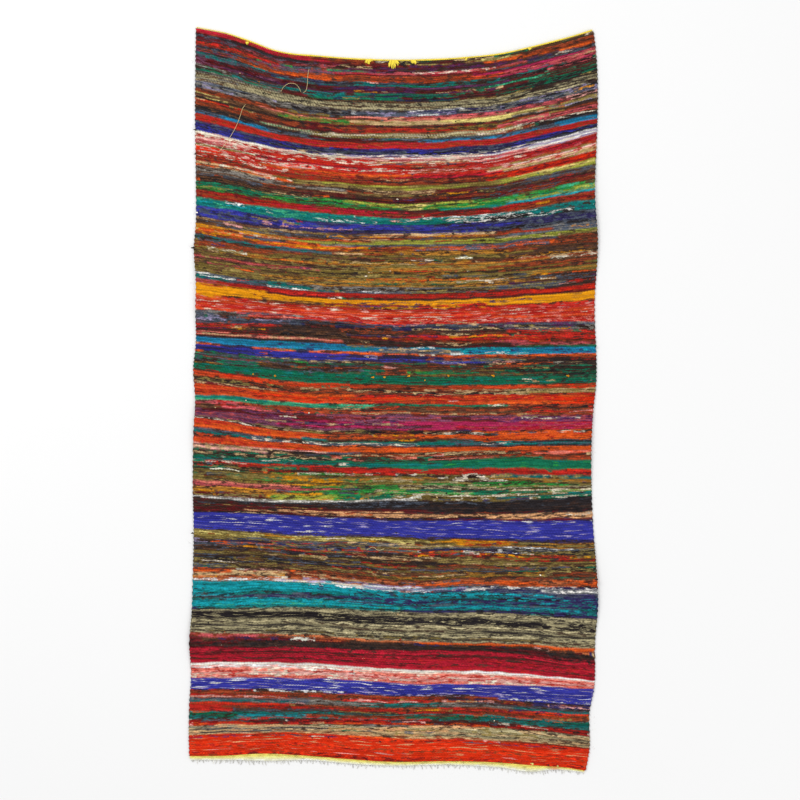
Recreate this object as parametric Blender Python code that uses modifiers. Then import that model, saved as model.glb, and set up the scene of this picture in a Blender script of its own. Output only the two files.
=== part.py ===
"""A hand-woven rag rug with its warp running lengthwise, spread out on a level surface.

Metres, +Z up. +Y runs to the rug's upper end, +X to its right-hand selvedge. The surface
is z = 0. The rug keeps the set it took while it hung by its two upper corners: the upper
end dips in the middle, every row of weft bows with it, and the selvedges wander. A few
low ripples stand off the surface, mostly in the upper half.
"""

import math

import bpy
import numpy as np

# Driving dimensions.
THICKNESS = 0.006  # weft-faced weave of fabric strips
HALF_WIDTH = 0.450  # nominal, before the selvedges wander
CELLS_ACROSS = 30
CELLS_ALONG = 44
GAP = 0.0005  # between neighbouring pieces

TOP_CORD_RADIUS = 0.0017  # yellow yarn twined along the upper end
TOP_CORD_HEIGHT = 0.0034  # its centre above the underside of the cloth
HEADING_THICKNESS = 0.0044  # woven yarn band at the lower end
FRINGE_THICKNESS = 0.0018
FRINGE_SPINE = 0.0016  # the knotted root that all warp ends leave from
FRINGE_ENDS = 60
FRINGE_SHORTEST = 0.0035
FRINGE_LONGEST = 0.0085
FRINGE_END_SHARE = 0.55  # width of one end over the pitch between ends

# The upper end of the cloth.
UPPER_END = (
    # x, y
    (-0.443, 0.8325),
    (-0.381, 0.8200),
    (-0.327, 0.8020),
    (-0.273, 0.7820),
    (-0.165, 0.7685),
    (0.000, 0.7600),
    (0.159, 0.7660),
    (0.240, 0.7750),
    (0.294, 0.7865),
    (0.348, 0.7995),
    (0.402, 0.8135),
    (0.450, 0.8275),
)

# The lower end of the cloth, where the heading starts, and how deep the heading is there.
LOWER_END = (
    # x, y, heading
    (-0.458, -0.8026, 0.0095),
    (-0.372, -0.8020, 0.0110),
    (-0.294, -0.7975, 0.0175),
    (-0.179, -0.8026, 0.0100),
    (-0.111, -0.8080, 0.0110),
    (0.001, -0.8155, 0.0095),
    (0.138, -0.8145, 0.0090),
    (0.240, -0.8168, 0.0120),
    (0.316, -0.8226, 0.0155),
    (0.350, -0.8250, 0.0085),
    (0.408, -0.8290, 0.0060),
    (0.434, -0.8330, 0.0040),
)

# Where single rows of weft lie: y at five places across the rug.
ROW_PLACES = (-0.413, -0.219, 0.001, 0.222, 0.424)
WEFT_ROWS = (
    # far_left, left, middle, right, far_right
    (0.619, 0.5805, 0.560, 0.578, 0.610),
    (0.254, 0.2295, 0.2205, 0.225, 0.241),
    (-0.223, -0.234, -0.2295, -0.2295, -0.2205),
    (-0.592, -0.592, -0.6075, -0.612, -0.630),
)

LEFT_SELVEDGE = (
    # y, x
    (0.835, -0.443),
    (0.480, -0.4425),
    (0.120, -0.4440),
    (0.080, -0.4510),
    (-0.015, -0.4445),
    (-0.120, -0.4530),
    (-0.400, -0.4530),
    (-0.490, -0.4550),
    (-0.560, -0.4590),
    (-0.650, -0.4590),
    (-0.700, -0.4560),
    (-0.760, -0.4590),
    (-0.805, -0.4580),
)

RIGHT_SELVEDGE = (
    # y, x
    (0.830, 0.4480),
    (0.780, 0.4540),
    (0.690, 0.4580),
    (0.590, 0.4560),
    (0.460, 0.4515),
    (0.355, 0.4580),
    (0.220, 0.4510),
    (0.020, 0.4530),
    (-0.015, 0.4490),
    (-0.270, 0.4510),
    (-0.400, 0.4560),
    (-0.455, 0.4585),
    (-0.545, 0.4520),
    (-0.655, 0.4490),
    (-0.700, 0.4400),
    (-0.790, 0.4390),
    (-0.835, 0.4310),
)

# Low ripples, each a soft ridge that is highest at x, y and gone at its half sizes.
RIPPLES = (
    # x, y, half_width, half_length, height, lean
    (-0.315, 0.600, 0.085, 0.190, 0.0060, 0.10),
    (-0.120, 0.520, 0.090, 0.210, 0.0045, 0.04),
    (0.090, 0.560, 0.085, 0.170, 0.0055, -0.05),
    (0.275, 0.610, 0.080, 0.180, 0.0065, -0.12),
    (0.450, 0.420, 0.075, 0.160, 0.0055, 0.00),
    (-0.445, 0.245, 0.070, 0.120, 0.0040, 0.00),
    (0.180, 0.150, 0.095, 0.180, 0.0035, 0.08),
    (-0.455, -0.060, 0.070, 0.110, 0.0045, 0.00),
    (0.455, -0.100, 0.070, 0.130, 0.0040, 0.00),
    (-0.170, -0.260, 0.100, 0.160, 0.0030, 0.10),
    (0.450, -0.420, 0.075, 0.120, 0.0050, 0.00),
    (-0.455, -0.520, 0.070, 0.110, 0.0035, 0.00),
)

CLOTH_COLOUR = (0.42, 0.09, 0.05, 1.0)
TOP_CORD_COLOUR = (0.90, 0.72, 0.12, 1.0)
HEADING_COLOUR = (0.80, 0.72, 0.30, 1.0)
FRINGE_COLOUR = (0.62, 0.60, 0.56, 1.0)
YARN_ROUGHNESS = 0.9


def smooth(x, xs, ys):
    """A cubic through the points (xs, ys) whose slope at a point is that of the chord
    between its neighbours. Past the ends it goes on straight."""
    x, xs, ys = np.asarray(x, float), np.asarray(xs, float), np.asarray(ys, float)
    slopes = np.gradient(ys, xs)
    inside = np.clip(x, xs[0], xs[-1])
    i = np.clip(np.searchsorted(xs, inside) - 1, 0, len(xs) - 2)
    step = xs[i + 1] - xs[i]
    t = (inside - xs[i]) / step
    curve = (
        ys[i] * (1 + 2 * t) * (1 - t) ** 2
        + ys[i + 1] * t**2 * (3 - 2 * t)
        + step * (slopes[i] * t * (1 - t) ** 2 - slopes[i + 1] * t**2 * (1 - t))
    )
    ends = np.where(x > xs[-1], slopes[-1], slopes[0])
    return curve + ends * (x - inside)


def column(table, name):
    """Column number name of a table, as an array."""
    return np.array([row[name] for row in table])


def selvedge(table, y):
    """x of a selvedge at height y. The table runs down the rug."""
    return smooth(y, column(table, 0)[::-1], column(table, 1)[::-1])


def lift(x, y):
    """How far the underside stands off the surface: the highest ripple there, where each
    ripple is its height times (1 - t^2)^2 across and along, and 0 past its half sizes."""
    height = np.zeros(np.broadcast(x, y).shape)
    for middle_x, middle_y, half_width, half_length, top, lean in RIPPLES:
        across = (x - middle_x - lean * (y - middle_y)) / half_width
        along = (y - middle_y) / half_length
        across, along = np.clip(across, -1, 1), np.clip(along, -1, 1)
        height = np.maximum(height, top * (1 - across**2) ** 2 * (1 - along**2) ** 2)
    return height


def row_height(x, down):
    """y of the row of weft at x that is the share down of the way from the upper end to
    the lower one: a cubic through the upper end, the stated rows and the lower end."""
    ends = UPPER_END, LOWER_END
    upper, lower = (smooth(x, column(end, 0), column(end, 1)) for end in ends)
    middles = [UPPER_END[5][1], *column(WEFT_ROWS, 2), LOWER_END[5][1]]
    shares = (middles[0] - np.array(middles)) / (middles[0] - middles[-1])
    heights = [upper, *(smooth(x, ROW_PLACES, row) for row in WEFT_ROWS), lower]
    result = np.empty(np.shape(x))
    for k in np.ndindex(result.shape):
        result[k] = smooth(down[k], shares, [height[k] for height in heights])
    return result


def cloth_point(across, down):
    """x and y at the share across from the left selvedge and down from the upper end."""
    y = row_height(HALF_WIDTH * (2 * across - 1), down)
    left, right = selvedge(LEFT_SELVEDGE, y), selvedge(RIGHT_SELVEDGE, y)
    return left + across * (right - left), y


def end_line(down):
    """The points of one end of the cloth, one for each line of cells, left to right."""
    across = np.linspace(0, 1, CELLS_ACROSS + 1)
    return np.stack(cloth_point(across, np.full(across.shape, float(down))), 1)


def material(name, colour):
    made = bpy.data.materials.new(name)
    made.use_nodes = True
    shader = made.node_tree.nodes["Principled BSDF"]
    shader.inputs["Base Color"].default_value = colour
    shader.inputs["Roughness"].default_value = YARN_ROUGHNESS
    shader.inputs["Metallic"].default_value = 0.0
    made.diffuse_color = colour
    return made


def add_object(name, data, colour):
    obj = bpy.data.objects.new(name, data)
    data.materials.append(material(name, colour))
    bpy.data.collections["rag_rug"].objects.link(obj)
    return obj


def rug_body():
    """The cloth: a grid laid along the rows of weft, lifted by the ripples and given its
    thickness upwards, so that its underside is flat wherever no ripple is."""
    bpy.ops.mesh.primitive_grid_add(
        x_subdivisions=CELLS_ACROSS, y_subdivisions=CELLS_ALONG, size=1
    )
    grid = bpy.context.object.data
    bpy.data.objects.remove(bpy.context.object)
    flat = np.empty(len(grid.vertices) * 3, np.float32)
    grid.vertices.foreach_get("co", flat)
    across, up = flat[0::3] + 0.5, flat[1::3] + 0.5
    x, y = cloth_point(across, 1 - up)
    grid.vertices.foreach_set("co", np.stack([x, y, lift(x, y)], 1).ravel())
    grid.update()
    body = add_object("rug_body", grid, CLOTH_COLOUR)
    solid = body.modifiers.new("thickness", "SOLIDIFY")
    solid.thickness = THICKNESS
    solid.offset = 1.0
    return body


def top_heading():
    """The yarn twined along the upper end: a round cord just past the edge."""
    line = end_line(0)
    curve = bpy.data.curves.new("top_heading", "CURVE")
    curve.dimensions = "3D"
    curve.bevel_depth = TOP_CORD_RADIUS
    curve.bevel_resolution = 2
    curve.use_fill_caps = True
    spline = curve.splines.new("POLY")
    spline.points.add(len(line) - 1)
    slope = np.gradient(line[:, 1], line[:, 0])
    clear = (TOP_CORD_RADIUS + GAP) * np.sqrt(1 + slope**2)
    height = lift(line[:, 0], line[:, 1]) + TOP_CORD_HEIGHT
    for point, (x, y), away, z in zip(spline.points, line, clear, height):
        point.co = (x, y + away, z, 1)
    return add_object("top_heading", curve, TOP_CORD_COLOUR)


def flat_piece(name, outline, thickness, colour):
    """A flat piece of the given outline that lies on the surface."""
    curve = bpy.data.curves.new(name, "CURVE")
    curve.dimensions = "2D"
    curve.fill_mode = "BOTH"
    curve.extrude = thickness / 2
    spline = curve.splines.new("POLY")
    spline.points.add(len(outline) - 1)
    for point, (x, y) in zip(spline.points, outline):
        point.co = (x, y, 0, 1)
    spline.use_cyclic_u = True
    piece = add_object(name, curve, colour)
    piece.location.z = thickness / 2
    return piece


def heading_lines():
    """The upper and lower edges of the woven heading, left to right."""
    upper = end_line(1) - (0, GAP)
    depth = smooth(upper[:, 0], column(LOWER_END, 0), column(LOWER_END, 2))
    return upper, upper - np.stack([np.zeros(len(upper)), depth], 1)


def bottom_heading():
    """The band of pale yarn woven under the last row of rag weft."""
    upper, lower = heading_lines()
    outline = [*upper, *lower[::-1]]
    return flat_piece("bottom_heading", outline, HEADING_THICKNESS, HEADING_COLOUR)


def bottom_fringe():
    """The cut warp ends under the heading: one comb, whose ends are unevenly long by two
    sine waves of unlike period."""
    _, heading = heading_lines()
    upper = heading - (0, GAP)
    pitch = (upper[-1, 0] - upper[0, 0]) / FRINGE_ENDS
    teeth = []
    for number in range(FRINGE_ENDS):
        middle = upper[0, 0] + (number + 0.5) * pitch
        half = FRINGE_END_SHARE * pitch / 2
        wave = 0.5 + 0.3 * math.sin(2.4 * number) + 0.2 * math.sin(0.71 * number)
        length = FRINGE_SHORTEST + (FRINGE_LONGEST - FRINGE_SHORTEST) * wave
        for x, drop in ((middle - half, 0), (middle - half * 0.6, length),
                        (middle + half * 0.6, length), (middle + half, 0)):
            root = np.interp(x, upper[:, 0], upper[:, 1]) - FRINGE_SPINE
            teeth.append((x, root - drop))
    first = (upper[0, 0], upper[0, 1] - FRINGE_SPINE)
    last = (upper[-1, 0], upper[-1, 1] - FRINGE_SPINE)
    outline = [*upper, last, *teeth[::-1], first]
    return flat_piece("bottom_fringe", outline, FRINGE_THICKNESS, FRINGE_COLOUR)


def centre(pieces):
    """Moves the pieces together so that the middle of their common box is over the origin."""
    bpy.context.view_layer.update()
    corners = np.array([list(corner) for piece in pieces for corner in piece.bound_box])
    middle = (corners.min(0) + corners.max(0)) / 2
    for piece in pieces:
        piece.location.x -= middle[0]
        piece.location.y -= middle[1]


def main():
    for old in list(bpy.data.objects):
        bpy.data.objects.remove(old)
    group = bpy.data.collections.new("rag_rug")
    bpy.context.scene.collection.children.link(group)
    centre([rug_body(), top_heading(), bottom_heading(), bottom_fringe()])


main()
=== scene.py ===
import math
from statistics import NormalDist

import bpy
import numpy as np
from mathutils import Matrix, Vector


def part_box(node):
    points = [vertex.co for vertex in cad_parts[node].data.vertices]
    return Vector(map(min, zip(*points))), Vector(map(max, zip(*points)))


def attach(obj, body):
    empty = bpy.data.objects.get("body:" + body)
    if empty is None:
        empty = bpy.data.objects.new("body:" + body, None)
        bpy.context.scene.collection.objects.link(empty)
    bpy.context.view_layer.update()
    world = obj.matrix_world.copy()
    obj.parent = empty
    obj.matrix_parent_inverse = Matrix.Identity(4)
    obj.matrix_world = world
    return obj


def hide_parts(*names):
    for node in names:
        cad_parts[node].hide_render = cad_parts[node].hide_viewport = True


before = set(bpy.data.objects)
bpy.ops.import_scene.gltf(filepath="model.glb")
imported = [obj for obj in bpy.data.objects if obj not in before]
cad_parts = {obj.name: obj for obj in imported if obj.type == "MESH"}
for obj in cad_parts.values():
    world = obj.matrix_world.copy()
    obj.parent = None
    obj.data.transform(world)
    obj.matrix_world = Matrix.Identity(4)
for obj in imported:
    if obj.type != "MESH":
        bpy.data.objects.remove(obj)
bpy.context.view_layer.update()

RNG = np.random.default_rng(1947)

# ---------------------------------------------------------------------------
# Sizes of the weave, in metres
# ---------------------------------------------------------------------------
HALF_WIDTH = 0.450  # nominal, before the selvedges wander
WARPS = 280  # warp threads across, each with one column of the mesh
RUNS = 5  # the cloth is made in this many runs of rows
LINES_A_PICK = 3  # mesh lines from one groove between rows to the next
CLOTH_MIDDLE = 0.0030  # mid-plane above the surface that the rug lies on
FACE_CREST = 0.0058  # top of a row where it runs over a warp
FACE_DIP = 0.0046  # top of a row where it runs under a warp
FACE_GROOVE = 0.0039  # bottom of the groove between two rows
BACK_CREST = 0.0000
BACK_DIP = 0.0016
BACK_GROOVE = 0.0019
CREST_SPREAD = 0.11  # share of a row by which a crest crowds its neighbours
CREST_UNEVEN = (0.25, 40)  # how unevenly rows rise and dip, and in how many waves across
ROW_WANDER = ((0.25, 24), (0.12, 70))  # shares of a row a groove wanders by, and the waves
SWAY = ((0.0018, 26, 12), (0.0009, 70, 34))  # how far rows sway together, and in what cells
SWAY_ROWS = 12  # rows from an end over which the sway comes in
LEVEL_NOISE = 0.00045  # unevenness of the face over about three rows
END_THICKNESS = 0.4  # share of the thickness at the first and last mesh line
EDGE_THICKNESS = 0.45  # and at the selvedges, from where it grows over the next warps
EDGE_WARPS = 1.5
SELVEDGE_ROUND = 0.0022  # how far a turn of weft stands out past the edge
SELVEDGE_SCALLOP = 0.0016  # how far the edge draws in between two turns
SCALLOP_WARPS = 4  # columns that are drawn in with it

# Sizes of the yarns at the ends and on the face. A tube's radius is half its thickness.
CORD_MIDDLE = 0.0034  # height of the upper heading cord's middle
CORD_AWAY = 0.0018  # from the first row to the cord's middle
CORD_PLY = 0.00105  # radius of one ply
CORD_TWIST = 0.0009  # from the cord's middle to a ply's
CORD_TURNS = 95  # turns of the twist from selvedge to selvedge
BAND_MIDDLE = 0.0023
BAND_WAVE = 0.0009  # how far a row of the lower heading goes over and under the warps
BAND_RADIUS = (0.0006, 0.0030)  # thinnest and thickest
STRANDS = 140  # cut warp ends that stand out below the heading, two warps each
STRAND_LENGTH = (0.003, 0.007)  # shortest, and how much longer the longest is
STRAND_RADIUS = 0.0007
STRAND_TUCK = 0.002  # how far a strand starts inside the heading
TUFT_STRANDS = 7
TUFT_RADIUS = 0.0012
FLUFF_RADIUS = 0.0007
STRAY_RADIUS = 0.00042
KNOT = (0.0022, 0.0022)  # half length and radius of a knot of size 1
KNOT_TAIL = (0.0045, 0.0011)  # and of each of its two tails
DOTS = 130  # small knots anywhere, besides the placed ones
LINT = 900  # loose fibres
LINT_AT_EDGES = 0.2  # share of them that stand off the selvedges
LINT_RADIUS = 0.00013
TAPER = 0.35  # how much a tube narrows at its ends

# ---------------------------------------------------------------------------
# The rug's outline, as it keeps it from hanging by its two upper corners
# ---------------------------------------------------------------------------
UPPER_END = (
    # x, y
    (-0.443, 0.8325), (-0.381, 0.8200), (-0.327, 0.8020), (-0.273, 0.7820),
    (-0.165, 0.7685), (0.000, 0.7600), (0.159, 0.7660), (0.240, 0.7750),
    (0.294, 0.7865), (0.348, 0.7995), (0.402, 0.8135), (0.450, 0.8275),
)
LOWER_END = (
    # x, y, depth of the woven heading below it
    (-0.458, -0.8026, 0.0095), (-0.372, -0.8020, 0.0110), (-0.294, -0.7975, 0.0175),
    (-0.179, -0.8026, 0.0100), (-0.111, -0.8080, 0.0110), (0.001, -0.8155, 0.0095),
    (0.138, -0.8145, 0.0090), (0.240, -0.8168, 0.0120), (0.316, -0.8226, 0.0155),
    (0.350, -0.8250, 0.0085), (0.408, -0.8290, 0.0060), (0.434, -0.8330, 0.0040),
)
LEFT_SELVEDGE = (
    # y, x
    (0.835, -0.4430), (0.640, -0.4450), (0.480, -0.4430), (0.400, -0.4430),
    (0.335, -0.4475), (0.265, -0.4430), (0.200, -0.4440), (0.130, -0.4430),
    (0.065, -0.4490), (0.000, -0.4445), (-0.070, -0.4480), (-0.200, -0.4500),
    (-0.290, -0.4480), (-0.400, -0.4500), (-0.490, -0.4530), (-0.550, -0.4580),
    (-0.610, -0.4540), (-0.690, -0.4580), (-0.760, -0.4590), (-0.805, -0.4580),
)
RIGHT_SELVEDGE = (
    # y, x
    (0.830, 0.4480), (0.780, 0.4540), (0.690, 0.4580), (0.590, 0.4560),
    (0.460, 0.4515), (0.355, 0.4580), (0.220, 0.4510), (0.020, 0.4530),
    (-0.015, 0.4490), (-0.270, 0.4465), (-0.400, 0.4560), (-0.455, 0.4585),
    (-0.545, 0.4520), (-0.655, 0.4490), (-0.700, 0.4400), (-0.790, 0.4390),
    (-0.835, 0.4310),
)
RIPPLES = (
    # x, y, half_width, half_length, height, lean
    (-0.315, 0.600, 0.085, 0.190, 0.0060, 0.10),
    (-0.120, 0.520, 0.090, 0.210, 0.0045, 0.04),
    (0.090, 0.560, 0.085, 0.170, 0.0055, -0.05),
    (0.275, 0.610, 0.080, 0.180, 0.0065, -0.12),
    (0.450, 0.420, 0.075, 0.160, 0.0055, 0.00),
    (-0.445, 0.245, 0.070, 0.120, 0.0040, 0.00),
    (0.180, 0.150, 0.095, 0.180, 0.0035, 0.08),
    (-0.455, -0.060, 0.070, 0.110, 0.0045, 0.00),
    (0.455, -0.100, 0.070, 0.130, 0.0040, 0.00),
    (-0.170, -0.260, 0.100, 0.160, 0.0030, 0.10),
    (0.450, -0.420, 0.075, 0.120, 0.0050, 0.00),
    (-0.455, -0.520, 0.070, 0.110, 0.0035, 0.00),
)

# ---------------------------------------------------------------------------
# Dyes and the weaver's chart
# ---------------------------------------------------------------------------
DYES = {
    # name: red, green, blue, as seen, from 0 to 255
    "crimson": (190, 28, 50), "red": (194, 38, 28), "vermilion": (232, 50, 8),
    "flame": (216, 74, 34), "orange": (230, 92, 28), "burnt": (196, 106, 62),
    "rust": (156, 66, 34), "ochre": (186, 126, 44), "gold": (232, 152, 8),
    "straw": (226, 208, 122), "lime": (164, 168, 62), "khaki": (152, 132, 72),
    "olive": (126, 106, 48), "brown": (106, 70, 46), "umber": (66, 46, 38),
    "maroon": (104, 26, 30), "rose": (198, 84, 90), "coral": (246, 134, 116),
    "pink": (240, 170, 160), "magenta": (188, 40, 92), "purple": (94, 42, 88),
    "heather": (128, 72, 100), "lilac": (170, 158, 196), "navy": (50, 44, 92),
    "royal": (54, 56, 162), "cerulean": (28, 126, 168), "turquoise": (18, 160, 174),
    "teal": (12, 122, 118), "emerald": (14, 114, 82), "green": (44, 148, 62),
    "mint": (64, 172, 128), "slate": (82, 90, 104), "grey": (140, 134, 126),
    "charcoal": (42, 36, 38), "beige": (184, 172, 132), "tan": (206, 172, 124),
    "peach": (240, 178, 124), "cream": (246, 232, 208), "white": (250, 246, 238),
}

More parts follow.
